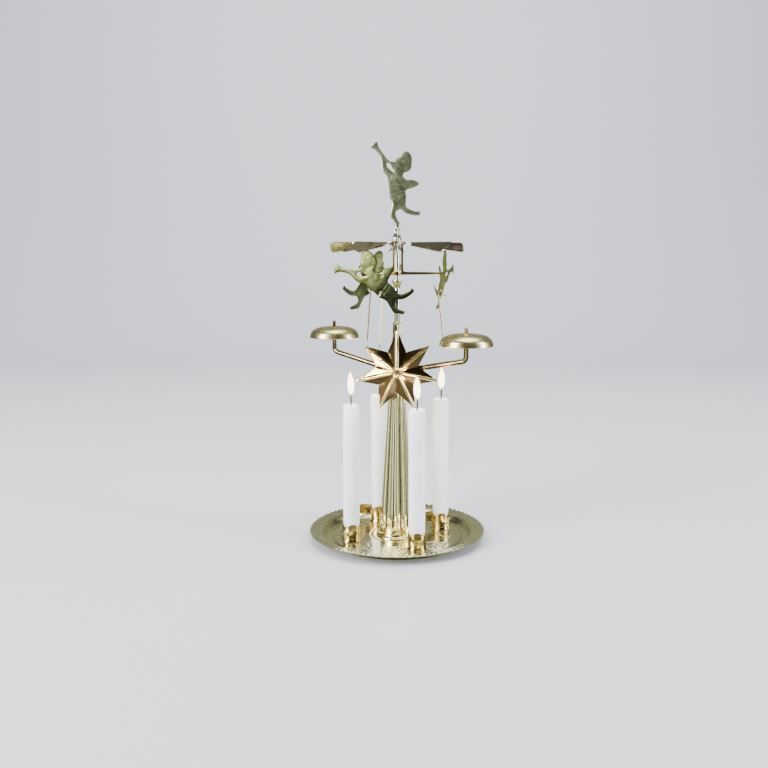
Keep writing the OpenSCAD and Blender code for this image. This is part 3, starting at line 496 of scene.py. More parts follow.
ALONG = np.concatenate([np.linspace(0, 0.12, 5), np.linspace(0.16, 0.94, 18), np.linspace(0.96, 1, 4)])
NOTCH_SHARE = 0.52
HALF_POINT = math.pi / STAR_POINTS


def polar(r, a):
    return np.array([r * math.cos(a), r * math.sin(a)])


def facet_height(r, off):
    """Height of a flat facet through the star's centre, a tip and a notch."""
    v = r * math.sin(off) / (NOTCH_R * math.sin(HALF_POINT))
    w = (r * math.cos(off) - v * NOTCH_R * math.cos(HALF_POINT)) / STAR_R
    return STAR_DEPTH * max(0, 1 - v - w)


star_points, star_faces, star_fold_shade = [], [], []
cols = len(BESIDE_FOLD) + len(FACET_SHARES)
for sheet in (SHEET, 0):
    for k in range(STAR_POINTS):
        fold = math.pi / 2 + 2 * k * HALF_POINT
        tip = polar(STAR_R, fold)
        for side in (-1, 1):
            hole, notch = (polar(r, fold + side * HALF_POINT) for r in (HOLE_R, NOTCH_R))
            star_faces += grid_faces(len(ALONG), cols, wrap_cols=False, start=len(star_points))
            for u in ALONG:
                ridge = tip * (HOLE_R / STAR_R + (1 - HOLE_R / STAR_R) * u)
                if u < NOTCH_SHARE:
                    rim = hole + (notch - hole) * u / NOTCH_SHARE
                else:
                    rim = notch + (tip - notch) * (u - NOTCH_SHARE) / (1 - NOTCH_SHARE)
                wide = np.linalg.norm(rim - ridge)
                spots = [min(d, wide * 0.9 * d / BESIDE_FOLD[-1]) for d in BESIDE_FOLD]
                spots += [spots[-1] + (wide - spots[-1]) * s for s in FACET_SHARES]
                # painted shade beside each fold, under its bead
                star_fold_shade += [0.95] * (len(BESIDE_FOLD) - 1) + [0.0] * (len(FACET_SHARES) + 1)
                fade = min(1, u / 0.06) * min(1, (1 - u) / 0.05 + 0.25)
                for d in spots:
                    share = d / wide if wide > 1e-6 else 0
                    p = ridge + (rim - ridge) * share
                    off = abs(math.atan2(p[1], p[0]) - fold) % (2 * math.pi)
                    z = facet_height(np.linalg.norm(p), min(off, 2 * math.pi - off))
                    z -= BELLY * math.sin(math.pi * min(share, 1)) * min(1, wide / 6)
                    z += RIDGE_RISE * fade * math.sqrt(1 - (min(d, RIDGE_HALF) / RIDGE_HALF) ** 2)
                    star_points.append((p[0], STAR_Y - max(z, 0) - sheet, STAR_Z + p[1]))
half, block = len(star_points) // 2, len(ALONG) * cols
outer_rows = range(int((ALONG < NOTCH_SHARE).sum()) - 1, len(ALONG))
for first in range(0, half, block):
    rim_ids = [first + i * cols + cols - 1 for i in outer_rows]
    hole_ids = [first + j for j in range(cols)]
    for a, b in (*zip(rim_ids, rim_ids[1:]), *zip(hole_ids, hole_ids[1:])):
        star_faces.append((a, b, b + half, a + half))
piece("folded_star", star_points, star_faces, star_gold_painted_dark, "polished_gold", "base", ["star"], crease=22,
      marks=star_fold_shade)

# Each fold is a half-round bead with a blunt end, painted bright gold: a painted highlight on the ridge
BEAD_HALF, BEAD_RISE, BEAD_START, BEAD_END = 1.15, 0.95, 2.1, 1.1
bead_section = [(math.cos(a), math.sin(a)) for a in np.linspace(0, math.pi, 11)]
bead_section += [(-1.0, -0.55), (0, -0.3), (1.0, -0.55)]
stations = [(BEAD_START, 0.7)]
stations += [(u, 1.0) for u in np.linspace(BEAD_START + 0.5, STAR_R - BEAD_END, 14)]
stations += [(STAR_R - BEAD_END * (1 - math.sin(a)), math.cos(a)) for a in np.radians((25, 45, 62, 76, 86))]
rows, cols = len(stations), len(bead_section)
bead_points, bead_faces = [], []
for k in range(STAR_POINTS):
    fold = math.pi / 2 + 2 * k * HALF_POINT
    start = len(bead_points)
    for u, full in stations:
        ground = STAR_DEPTH * (1 - u / STAR_R) + SHEET
        for w, h in bead_section:
            x, z = polar(u, fold) + polar(w * BEAD_HALF * full, fold + math.pi / 2)
            rise = h * BEAD_RISE * (full if h > 0 else 1)
            bead_points.append((x, STAR_Y - ground - rise, STAR_Z + z))
    bead_faces += grid_faces(rows, cols, start=start)
    bead_faces += [tuple(range(first, first + cols)) for first in (start, start + (rows - 1) * cols)]
piece("star_fold_beads", bead_points, bead_faces, ridge_gold_painted_bright, "polished_gold", "base", crease=40)

dark_steel = metal("dark_steel", (0.16, 0.14, 0.12), (0.05, 0.04, 0.03), gloss=(0.25, 0.45))
refinish(cup_gold, "star_spacer")
refinish(dark_steel, "star_rivet", "arm_rivet_left", "arm_rivet_right")


# Band and bell arms
# A brass band grips the column behind the star. A strip on edge, stiffened by a bead along its
# middle, is riveted to each ear of the band, slopes up and outwards and turns up into the bell.
def blank(name, outline, thickness, place, finish, slot, body, stands_for=(), ease=0.1):
    """A flat piece cut from sheet, its edges eased, placed by a matrix from its own plane."""
    shape = bpy.data.curves.new(name, "CURVE")
    shape.dimensions, shape.fill_mode = "2D", "BOTH"
    shape.extrude, shape.bevel_depth, shape.bevel_resolution = thickness / 2 - ease, ease, 2
    shape.offset = -ease
    spline = shape.splines.new("POLY")
    spline.points.add(len(outline) - 1)
    spline.use_cyclic_u = True
    for point, (x, y) in zip(spline.points, outline):
        point.co = (x, y, 0, 1)
    cut = bpy.data.objects.new(name, shape)
    bpy.context.scene.collection.objects.link(cut)
    mesh = bpy.data.meshes.new_from_object(cut.evaluated_get(bpy.context.evaluated_depsgraph_get()))
    bpy.data.objects.remove(cut)
    mesh.transform(place)
    points = [v.co[:] for v in mesh.vertices]
    faces = [tuple(f.vertices) for f in mesh.polygons]
    bpy.data.meshes.remove(mesh)
    piece(name, points, faces, finish, slot, body, stands_for)


def radial_plane(turn):
    """From a plane of (distance from the axis, height) to the room, at a turn in degrees."""
    return Matrix.Rotation(math.radians(turn), 4, "Z") @ Matrix.Rotation(math.pi / 2, 4, "X")


def placed(points, place):
    return [tuple(place @ Vector(p)) for p in points]


def wire(path, radius, sides=12):
    """Points and faces of a round wire along a path, with a radius for each of its points."""
    path = [Vector(p) for p in path]
    points = []
    up = Vector((0.3, 0.5, 0.8))
    for i, (p, size) in enumerate(zip(path, radius)):
        ahead = (path[min(i + 1, len(path) - 1)] - path[max(i - 1, 0)]).normalized()
        side = ahead.cross(up).normalized()
        up = side.cross(ahead).normalized()
        points += [tuple(p + (side * math.cos(a) + up * math.sin(a)) * size) for a in full_turn(sides)]
    ends = [tuple(range(sides))[::-1], tuple(range(len(points) - sides, len(points)))]
    return points, grid_faces(len(path), sides) + ends


# Painted shade and highlight: the strip and the band are painted near black and the bead bright gold, lit and
# shaded copies of the same brass
arm_gold_painted_dark = metal("arm_gold_painted_dark", (0.15, 0.10, 0.045), (0.06, 0.035, 0.02), clouds=(70, 0.4),
                 gloss=(0.16, 0.3), waves=(40, 0.3))
bead_gold_painted_bright = metal("bead_gold_painted_bright", (0.95, 0.86, 0.48), (0.50, 0.36, 0.14), clouds=(70, 0.25),
                  gloss=(0.14, 0.26), waves=(40, 0.2))
ARM_TURN, ARM_W, STRIP, BELL_REACH, SEAT_Z = 146.3, 4.0, 0.6, 61.1, 162.3
ARM_ROOT, BEND_MID, BEND_PARTS = 5.36, 4.2, 12
ARM_BEAD_R, ARM_BEAD_END, BEAD_ROOT, BEAD_SHORT = 0.65, 0.35, 13.5, 2.0
POST_LINE = ((1.45, 0), (1.45, 4.6), (0.7, 5.5), (-0.7, 5.5), (-1.45, 4.6), (-1.45, 0))
SIDES = (("left", ARM_TURN), ("right", ARM_TURN + 180))
slope = math.radians(11.5)
bend_x = BELL_REACH - BEND_MID
bend_z = STAR_Z + bend_x * math.tan(slope) + BEND_MID / math.cos(slope) - ARM_W / 2


def arm_side(r, start, top_z):
    """One long edge of an arm, at a radius round the middle of its bend."""
    line = [(start + r * math.sin(slope),
             bend_z - (bend_x - start) * math.tan(slope) - r * math.cos(slope))]
    for a in np.linspace(slope - math.pi / 2, 0, BEND_PARTS + 1):
        line.append((bend_x + r * math.cos(a), bend_z + r * math.sin(a)))
    return line + [(bend_x + r, top_z)]


arm_outline = arm_side(BEND_MID + ARM_W / 2, ARM_ROOT, SEAT_Z) \
    + [(BELL_REACH + x, SEAT_Z + z) for x, z in POST_LINE] \
    + arm_side(BEND_MID - ARM_W / 2, ARM_ROOT, SEAT_Z)[::-1]
bead_path = [(x, z, 0) for x, z in arm_side(BEND_MID, BEAD_ROOT, SEAT_Z - BEAD_SHORT)]
bead_radii = [ARM_BEAD_END] + [ARM_BEAD_R] * (BEND_PARTS + 1) + [ARM_BEAD_END]
for side_name, turn in SIDES:
    blank(f"arm_strip_{side_name}", arm_outline, STRIP, radial_plane(turn), arm_gold_painted_dark,
          "polished_gold", "base", [f"arm_{side_name}"])
    points, faces = wire(bead_path, bead_radii)
    piece(f"arm_bead_{side_name}", placed(points, radial_plane(turn)), faces, bead_gold_painted_bright,
          "polished_gold", "base")
refinish(arm_gold_painted_dark, "arm_band")


# Bells
# Shallow domes spun from brass, with a small rolled rim. Each rests loosely on the shoulders of
# its arm's post, so it rocks and rings when a striker brushes its rim.
bell_gold = metal("bell_gold", (0.76, 0.68, 0.34), (0.34, 0.27, 0.10), clouds=(50, 0.25),
                  gloss=(0.25, 0.36), waves=(35, 0.25), grain=(1500, 0.006))
BELL_R, BELL_H, BELL_HOLE, CROWN_FLAT, BELL_ROWS = 19.5, 8.5, 1.55, 3.9, 24
ROLL_LINE = ((0.42, -8.35), (0.6, -8.65), (0.42, -8.9), (0, -9.0))
bell_top = SEAT_Z + 0.05 + SHEET
lip_z = bell_top - BELL_H - SHEET
dome = [(BELL_R * math.cos(a) ** 0.62, lip_z + BELL_H * math.sin(a) ** 0.85)
        for a in np.linspace(0, math.pi / 2, BELL_ROWS + 1)[1:]]
dome = [(r, z) for r, z in dome if r > CROWN_FLAT + 0.05]
bell_line = [(BELL_HOLE, bell_top - SHEET), (BELL_HOLE, bell_top), (CROWN_FLAT, bell_top)] \
    + [(r + 0.22, z + SHEET) for r, z in dome[:0:-1]] \
    + [(BELL_R + r, bell_top + z) for r, z in ROLL_LINE] \
    + [(r - 0.05, z) for r, z in dome] + [(CROWN_FLAT, bell_top - SHEET)]
for side_name, turn in SIDES:
    turned(f"spun_bell_{side_name}", bell_line, bell_gold, "polished_gold", [f"bell_{side_name}"],
           body=f"bell_{side_name}", middle=polar(BELL_REACH, math.radians(turn)),
           steps=128, crease=40, ease=0.08)


# Candle clips
# Each clip is a strip rolled into a cup, with a small foot, a neck and four round petals that
# grip the candle. It is swaged into the tray, and the strip's flat end stands out as a tail.
clip_gold = metal("clip_gold", (0.66, 0.52, 0.22), (0.26, 0.12, 0.04), clouds=(60, 0.35),
                  gloss=(0.13, 0.24), waves=(45, 0.1), grain=(1500, 0.004))
CANDLE_REACH, CANDLE_TURN = 38.0, 22.9
CLIP_R, CLIP_OUT, CLIP_H, CLIP_FOOT = 6.35, 6.85, 13.5, 0.7
PETALS, PETAL_STEPS, PETAL_H, PETAL_REACH = 4, 30, 3.4, 0.85
CUP_FROM, STRAIGHT_FROM, LIP_EASE = 0.55, 2.3, 0.14
FOOT_RINGS = ((CLIP_FOOT - 0.1, 0.02), (CLIP_FOOT, 0.12), (CLIP_FOOT, 0.45))
BASE_RINGS = ((1.0, 0.5), (1.0, 0.02))
CLIP_SHARES = np.concatenate([np.linspace(0, 0.9, 30), [0.94, 0.97, 0.99, 1.0]])
TAIL_TURN = (180, 180, 100, 90)
TAIL_LINE = [(6.8, 6.7), (15.2, 6.7), (16.1, 7.6), (16.1, 14.3), (15.2, 15.2), (6.8, 15.2)]
swells, swell_heights = zip(*curved([(CLIP_FOOT, CUP_FROM), (CLIP_FOOT * 0.6, 1.2), (0.0, 2.1), (0.08, 2.6),
                                     (0.3, 6.1), (0.22, 9.5), (0.0, CLIP_H)]))
local = full_turn(PETALS * PETAL_STEPS)
half_petal = math.pi / PETALS
off = np.abs((local + half_petal) % (2 * half_petal) - half_petal)
short = np.clip(1 - (half_petal - off) / (PETAL_REACH * half_petal), 0, 1)
petal_top = CLIP_H - PETAL_H * (1 - np.sqrt(1 - short ** 2)) - 0.02
candle_spots = [tuple(polar(CANDLE_REACH, math.radians(CANDLE_TURN + 90 * i))) for i in range(4)]
for i, spot in enumerate(candle_spots):
    angle = math.radians(TAIL_TURN[i]) + local
    points = [p for r, z in FOOT_RINGS for p in ring_points(angle, CLIP_OUT + r, FLOOR_Z + z, spot)]
    for outside, walk in ((True, CLIP_SHARES), (False, CLIP_SHARES[::-1])):
        for share in walk:
            z = CUP_FROM + (petal_top - CUP_FROM) * share
            swell = np.interp(z, swell_heights, swells)
            edge = LIP_EASE * max(0, (share - 0.97) / 0.03) ** 2
            inner = CLIP_R + 0.02 + np.where(z > STRAIGHT_FROM, swell, 0) + edge
            points += ring_points(angle, CLIP_OUT + swell - edge if outside else inner, FLOOR_Z + z, spot)
    points += [p for r, z in BASE_RINGS for p in ring_points(angle, r, FLOOR_Z + z, spot)]
    piece(f"rolled_clip_{i + 1}", points, grid_faces(len(points) // len(local), len(local), wrap_rows=True),
          clip_gold, "polished_gold", "base", [f"clip_{i + 1}"], crease=38)
    blank(f"clip_tail_{i + 1}", TAIL_LINE, SHEET,
          Matrix.Translation((*spot, 0)) @ radial_plane(TAIL_TURN[i]), clip_gold, "polished_gold", "base")


# Candles and flames
# Straight poured candles, burnt down a few millimetres: a soft rounded shoulder, a shallow pool
# round the wick, and a few runs of wax that set on the side. Each one lifts out of its clip.
def wax_finish():
    finish, tree, shader = new_finish("white_wax")
    bloom = ramp(tree, noise(tree, 90.0, 4.0, 0.6), 0.35, 0.75)
    smears = ramp(tree, noise(tree, 260.0, 3.0), 0.3, 0.7)
    fine = math_node(tree, "MULTIPLY", noise(tree, 1500.0, 2.0), 0.12)
    # The wax is given a faint, even glow: painted light, not a lamp
    feed(tree, shader, {
        "Base Color": mixed_colour(tree, bloom, (0.95, 0.96, 0.995, 1), (0.91, 0.925, 0.97, 1)),
        "Roughness": math_node(tree, "MULTIPLY_ADD", smears, 0.2, 0.32),
        "Normal": bumped(tree, math_node(tree, "ADD", noise(tree, 170.0, 2.0), fine), 0.0002),
        "Subsurface Weight": 0.55, "Subsurface Radius": (1.0, 0.72, 0.5), "Subsurface Scale": 0.004,
        "Specular IOR Level": 0.45,
        "Emission Color": (0.80, 0.88, 1.0, 1), "Emission Strength": 0.45})      # painted light: the whole candle glows evenly, a little blue, so it stays white
    return finish


def wick_finish():
    finish, tree, shader = new_finish("charred_wick")
    strands = ramp(tree, noise(tree, 1800.0, 2.0, stretch=(1, 1, 0.3)), 0.35, 0.65)
    feed(tree, shader, {
        "Base Color": mixed_colour(tree, strands, (0.09, 0.06, 0.045, 1), (0.012, 0.01, 0.01, 1)),
        "Roughness": 0.9, "Normal": bumped(tree, strands, 0.0003)})
    return finish


def flame_finish():
    """A bright core that thins to a clear orange veil where the flame's edge turns away."""
    finish, tree, shader = new_finish("candle_flame")
    tree.nodes.remove(shader)
    heat = mixed_colour(tree, attribute(tree, "recess"), (1.0, 0.52, 0.16, 1), (1.0, 0.9, 0.62, 1))
    core = shader_node(tree, "ShaderNodeEmission", {"Color": heat, "Strength": 9.0})
    glow = shader_node(tree, "ShaderNodeEmission", {"Color": (1.0, 0.42, 0.08, 1), "Strength": 1.6})
    clear = shader_node(tree, "ShaderNodeBsdfTransparent")
    veil = shader_node(tree, "ShaderNodeMixShader", {0: 0.45, 1: glow.outputs[0], 2: clear.outputs[0]})
    facing = shader_node(tree, "ShaderNodeLayerWeight", {"Blend": 0.35}).outputs["Facing"]
    whole = shader_node(tree, "ShaderNodeMixShader", {
        0: ramp(tree, facing, 0.25, 0.85), 1: core.outputs[0], 2: veil.outputs[0]})
    feed(tree, tree.nodes["Material Output"], {"Surface": whole.outputs[0]})
    return finish


white_wax, charred_wick, candle_flame = wax_finish(), wick_finish(), flame_finish()
CANDLE_R, CANDLE_Z, CANDLE_STEPS = 6.25, 2.25, 96
FOOT_LINE = [(0.0, 0), (2.0, 0), (4.5, 0), (5.95, 0), (CANDLE_R, 0.3)]
SHOULDER_LINE = [(6.2, 105.9), (6.05, 106.5), (5.75, 107.0), (5.35, 107.25), (4.9, 107.0), (4.3, 106.4),
                 (3.4, 105.95), (2.2, 105.7), (1.2, 105.75), (0.85, 106.1), (0.8, 104.0), (0.0, 104.0)]
candle_line = [(r, CANDLE_Z + z) for r, z in FOOT_LINE]
candle_line += [(CANDLE_R, z) for z in (*np.linspace(4, 80, 20), *np.linspace(81, 105.2, 38))]
candle_line += SHOULDER_LINE
MELT_Z, MELT_H, MELT_DEPTH = 104, 2.5, 0.35
WICK_FOOT, WICK_H, WICK_R, WICK_ROWS = 104.2, 10.6, 0.62, 16
FLAME_Z, FLAME_H, FLAME_R, FLAME_ROWS, FLAME_STEPS = 114.6, 17.6, 2.95, 34, 28
GLOW_Z, GLOW_R = 125.5, 4
# Runs of wax on each candle: direction in degrees, top, length, width and how proud they stand
RUNS = (
    ((170, 103.0, 24, 1.1, 0.8), (250, 105.0, 9, 1.3, 0.7), (40, 105.5, 6, 1.2, 0.6)),
    ((185, 106.0, 14, 1.5, 1.0), (200, 88.0, 4, 0.9, 0.6), (300, 105.5, 7, 1.3, 0.7)),
    ((215, 106.0, 5, 1.2, 0.5), (330, 106.0, 8, 1.0, 0.6), (100, 105.0, 12, 1.2, 0.8)),
    ((190, 106.0, 6, 1.3, 0.6), (285, 106.0, 4, 1.0, 0.5), (20, 104.0, 15, 1.2, 0.9)),
)


def run_height(angle, z, way, top_z, length, width, proud):
    """How far one run of wax stands out at a height: a thin tail, then a drop at its end."""
    off = (angle - math.radians(way) + math.pi) % (2 * math.pi) - math.pi
    across = np.exp(-(off * CANDLE_R / width) ** 2)
    down = (top_z - z) / length
    if -0.25 < down < 1:
        return proud * math.sqrt(max(0, 1 - down ** 4)) * (0.55 + 0.45 * max(down, 0)) \
            * min(1, (down + 0.25) * 3) * across
    return proud * 0.3 * across if 1 <= down < 1 + 1 / length else 0


rng = np.random.default_rng(7)
for i, spot in enumerate(candle_spots):
    angle = full_turn(CANDLE_STEPS)
    wobble = sum(rng.uniform(-1, 1) * np.cos(k * angle + rng.uniform(0, 6.28)) / k for k in (1, 2, 3, 5))
    points = []
    for r, z in candle_line:
        melted = MELT_DEPTH * (1 + wobble) * min(1, (z - MELT_Z) / MELT_H) if z > MELT_Z and r > 2 else 0
        if r > 6:
            r = r - 0.05 * (1 + np.cos(2 * angle + z * 0.05))
            r = r + sum(run_height(angle, z, *run) for run in RUNS[i])
        points += ring_points(angle, r, z - melted, spot)
    piece(f"poured_candle_{i + 1}", points, grid_faces(len(candle_line), CANDLE_STEPS), white_wax, "wax",
          f"candle_{i + 1}", [f"candle_{i + 1}"], crease=60)
    lean = rng.uniform(-1, 1, 2)
    path = [(*(spot + lean * 0.6 * s ** 2), WICK_FOOT + WICK_H * s) for s in np.linspace(0, 1, WICK_ROWS)]
    thin = [WICK_R + 0.08 * math.sin(k * 2.1) - 0.3 * max(0, (k - 11) / 4) for k in range(WICK_ROWS)]
    piece(f"burnt_wick_{i + 1}", *wire(path, thin), charred_wick, "wick", f"candle_{i + 1}",
          [f"wick_{i + 1}"])
    tall = FLAME_H - rng.random()
    points, heat = [], []
    for s in np.linspace(0, 1, FLAME_ROWS):
        r = FLAME_R * math.sin(math.pi * s ** 0.8) ** 0.62 * (1 - 0.18 * s) if 0 < s < 1 else 0.0
        drift = lean * 0.3 + (0.5 * math.sin(s * 3.1 + i) * s, 0)
        points += ring_points(full_turn(FLAME_STEPS), r, FLAME_Z + tall * s, spot + drift)
        heat += [min(1, max(0, 1.15 - abs(s - 0.45) * 1.6))] * FLAME_STEPS
    piece(f"flame_{i + 1}", points, grid_faces(FLAME_ROWS, FLAME_STEPS), candle_flame, "wick",
          f"candle_{i + 1}", crease=80, marks=heat)
    hang_light(f"flame_light_{i + 1}", "POINT", np.array([*spot, GLOW_Z]) * MM, (0, 0, 0), 0.12,
               (1.0, 0.62, 0.3), shadow_soft_size=GLOW_R * MM)


# Vane wheel
# One disc of thin polished sheet, slit from the edge and twisted into eight vanes, so that the
# warm air turns it. A fluted crown on its hub hides the cup that rides on the needle.
wheel_gold = metal("wheel_gold", (1.0, 0.95, 0.62), (0.20, 0.11, 0.09), clouds=(30, 0.3),
                   gloss=(0.1, 0.2), waves=(30, 0.4), grain=(1500, 0.004), shaded=(0.19, 0.115, 0.11))
VANE_PAINTED_LIGHT = (0.1, 0.35, 0.6, 0.3, 1.0, 0.25, 0.7, 0.3)      # painted light: the vanes are painted from shaded to lit, one share each
WHEEL_R, HUB_R, HUB_HOLE, HUB_STEPS, HUB_PAINTED_LIGHT, WHEEL_Z = 51.0, 13.5, 1.56, 96, 0.7, 230.2
VANES, VANE_W, VANE_TURN, VANE_CORNER = 8, 16.0, 8.5, 2.4
VANE_PITCH = math.radians(28)
VANE_SHARES = np.concatenate([np.linspace(0, 0.16, 9), np.linspace(0.2, 0.9, 18), np.linspace(0.92, 1, 7)])
VANE_CUTS = np.concatenate([[0, 0.01], np.linspace(0.04, 0.16, 4), np.linspace(0.22, 0.78, 9),
                            np.linspace(0.84, 0.96, 4), [0.99, 1]])
root_r = HUB_R - VANE_W / 8


def vane_point(r, s, down):
    """A point of a vane, s from its leading edge and down from its upper face."""
    twist = min(1, (r - root_r) / (VANE_W / 3))
    pitch = VANE_PITCH * twist * twist * (3 - 2 * twist)
    over = s * math.cos(pitch) - down * math.sin(pitch)
    return (math.sqrt(r * r - over * over), -over, WHEEL_Z - s * math.sin(pitch) - down * math.cos(pitch))


hub_line = eased([(HUB_HOLE, -SHEET), (HUB_R, -SHEET), (HUB_R, 0), (HUB_HOLE, 0)], 0.1, True)
wheel_points = [p for r, z in hub_line for p in ring_points(full_turn(HUB_STEPS), r, WHEEL_Z + z)]
wheel_faces = grid_faces(len(hub_line), HUB_STEPS, wrap_rows=True)
wheel_painted_light = [HUB_PAINTED_LIGHT] * len(wheel_points)
rows, cols = len(VANE_SHARES), len(VANE_CUTS)
for k in range(VANES):
    spin = Matrix.Rotation(math.radians(VANE_TURN + 360 / VANES * k), 3, "Z")
    start = len(wheel_points)
    for down in (0, SHEET):
        for share in VANE_SHARES:
            for cut in VANE_CUTS:
                inward = min(cut, 1 - cut) * VANE_W
                trim = VANE_CORNER - math.sqrt(VANE_CORNER ** 2 - max(0, VANE_CORNER - inward) ** 2)
                r = root_r + (WHEEL_R - trim - root_r) * share
                wheel_points.append(tuple(spin @ Vector(vane_point(r, VANE_W * r / WHEEL_R * cut, down))))
                # painted highlight along each vane's edges, its tip and its root
                painted_edge_highlight = max(0, 1 - inward / 0.8, (share - 0.97) / 0.03) * 0.5 + max(0, 0.14 - share) * 5
                wheel_painted_light.append(min(1, VANE_PAINTED_LIGHT[k] + painted_edge_highlight))
    upper = grid_faces(rows, cols, wrap_cols=False, start=start)
    lower = [tuple(v + rows * cols for v in face[::-1]) for face in upper]
    root, tip = start, start + (rows - 1) * cols
    ring = [*range(root, root + cols), *range(root + 2 * cols - 1, tip, cols),
            *range(tip + cols - 1, tip - 1, -1), *range(tip - cols, root, -cols)]
    walls = [(a, b, b + rows * cols, a + rows * cols) for a, b in zip(ring, ring[1:] + ring[:1])]
    wheel_faces += upper + lower + walls
piece("slit_wheel", wheel_points, wheel_faces, wheel_gold, "wheel_gold", "rotor", ["vane_wheel"],
      painted_light_shares=wheel_painted_light)

CROWN_FLUTES, CROWN_STEPS, CROWN_H, CROWN_CORE = 8, 128, 13.5, 0.6
CROWN_LINE = ((CROWN_CORE, 0.02), (4.0, 0.02), (4.1, 0.12), (4.1, 0.65), (4.0, 0.75), (3.78, 0.8),
              (3.62, 2.4), (3.42, 4.6), (3.34, 6.0), (3.22, 6.2), (2.74, 6.25), (2.62, 6.6), (2.5, 9.0),
              (2.36, 12.0), (2.3, 13.3), (2.18, CROWN_H), (CROWN_CORE, CROWN_H))
angle = full_turn(CROWN_STEPS)
crest = np.abs(np.sin(angle * CROWN_FLUTES / 2))
crown_points, crown_valley_shade = [], []
for r, z in eased(CROWN_LINE, 0.1):
    depth = 0.16 * min(1, max(0, (r - 1.6) / 0.6)) * min(1, max(0, (z - 0.7) / 0.3))
    crown_points += ring_points(angle, r * (1 - depth * (1 - crest) ** 1.2), WHEEL_Z + z)
    # painted shade in the flutes' valleys
    crown_valley_shade += list(np.clip(1.5 - 2.0 * crest, 0, 1) * (depth > 0.1))
crown_gold = metal("crown_gold", (0.88, 0.85, 0.66), (0.03, 0.025, 0.015), clouds=(330, 1.7),
                   gloss=(0.05, 0.15), waves=(200, 0.3))
piece("fluted_crown", crown_points,
      grid_faces(len(crown_points) // CROWN_STEPS, CROWN_STEPS, wrap_rows=True),
      crown_gold, "polished_gold", "rotor", ["crown_cap"], crease=30, marks=crown_valley_shade)


# Hangers
# Three flat blanks on edge are gathered by a ring round the tube. Each has a foot under the hub,
# a leg down beside the tube and a long arm whose end meets its angel.
HANGER_TURN, HANGER_Z, ANGEL_REACH = 10.4, 206.4, 35.3
LEG_R, HANGER_END, RING_R, RING_H = 3.24, 35.0, 2.59, 2.4
hanger_gold = metal("hanger_gold", (0.72, 0.58, 0.28), (0.28, 0.20, 0.09), gloss=(0.14, 0.28))
low, high = HANGER_Z - RING_H / 2, WHEEL_Z - SHEET
hanger_outline = [
    (LEG_R, low), (HANGER_END, low + 0.36), (HANGER_END, low + 2.04), (LEG_R + 3.2, low + RING_H),
    (LEG_R + 2.1, low + 2.9), (LEG_R + 1.6, low + 4.0), (LEG_R + 1.6, high - 1.8),
    (LEG_R + 2.2, high - 1.2), (LEG_R + 3.2, high - 0.9), (LEG_R + 3.2, high), (LEG_R, high)]
for i in range(3):
    blank(f"cut_hanger_{i + 1}", hanger_outline, STRIP, radial_plane(HANGER_TURN + 120 * i), hanger_gold,
          "wheel_gold", "rotor", [f"hanger_{i + 1}"])
turned("gather_ring", [(RING_R, low), (RING_R + STRIP, low), (RING_R + STRIP, low + RING_H),
                       (RING_R, low + RING_H)], hanger_gold, "polished_gold", ["hanger_ring"], body="rotor")


# Angels
# Stamped from thin sheet in one die, then tumbled, which leaves a soft mottled gold. The round
# forms are pressed out to the front, and the same blank stands on the crown.
ANGEL_H, ANGEL_LEAN, HOOK_SHARE, HOOK_HOLE_R, HANG_SHARE = 55.2, math.radians(42), (-0.05, 0.42), 1.0, 0.244
# The blank's outline and the gap at its elbow, in shares of its height, standing at (0, 0)
ANGEL_SHARES = [
    (-0.375, 1.056), (-0.280, 1.131), (-0.244, 1.047), (-0.177, 0.953), (-0.104, 0.869),
    (-0.029, 0.860), (-0.020, 0.896), (0.038, 0.925), (0.084, 0.980), (0.140, 1.000),
    (0.186, 0.962), (0.210, 0.896), (0.204, 0.803), (0.177, 0.738), (0.097, 0.701),
    (0.090, 0.652), (0.134, 0.612), (0.195, 0.615), (0.262, 0.599), (0.308, 0.561),
    (0.271, 0.523), (0.195, 0.495), (0.122, 0.462), (0.131, 0.384), (0.125, 0.290),
    (0.140, 0.235), (0.204, 0.197), (0.289, 0.177), (0.315, 0.188), (0.312, 0.127),
    (0.215, 0.127), (0.140, 0.145), (0.093, 0.174), (0.047, 0.206), (0.000, 0.188),
    (-0.018, 0.142), (0.009, 0.066), (0.038, 0.014), (0.000, 0.000), (-0.047, 0.047),
    (-0.090, 0.104), (-0.079, 0.197), (-0.066, 0.290), (-0.104, 0.384), (-0.122, 0.523),
    (-0.136, 0.654), (-0.183, 0.706), (-0.210, 0.767), (-0.220, 0.887), (-0.256, 0.957),
    (-0.314, 1.023)]
ELBOW_SHARES = [(-0.140, 0.832), (-0.099, 0.832), (-0.052, 0.733), (-0.066, 0.724), (-0.131, 0.785)]
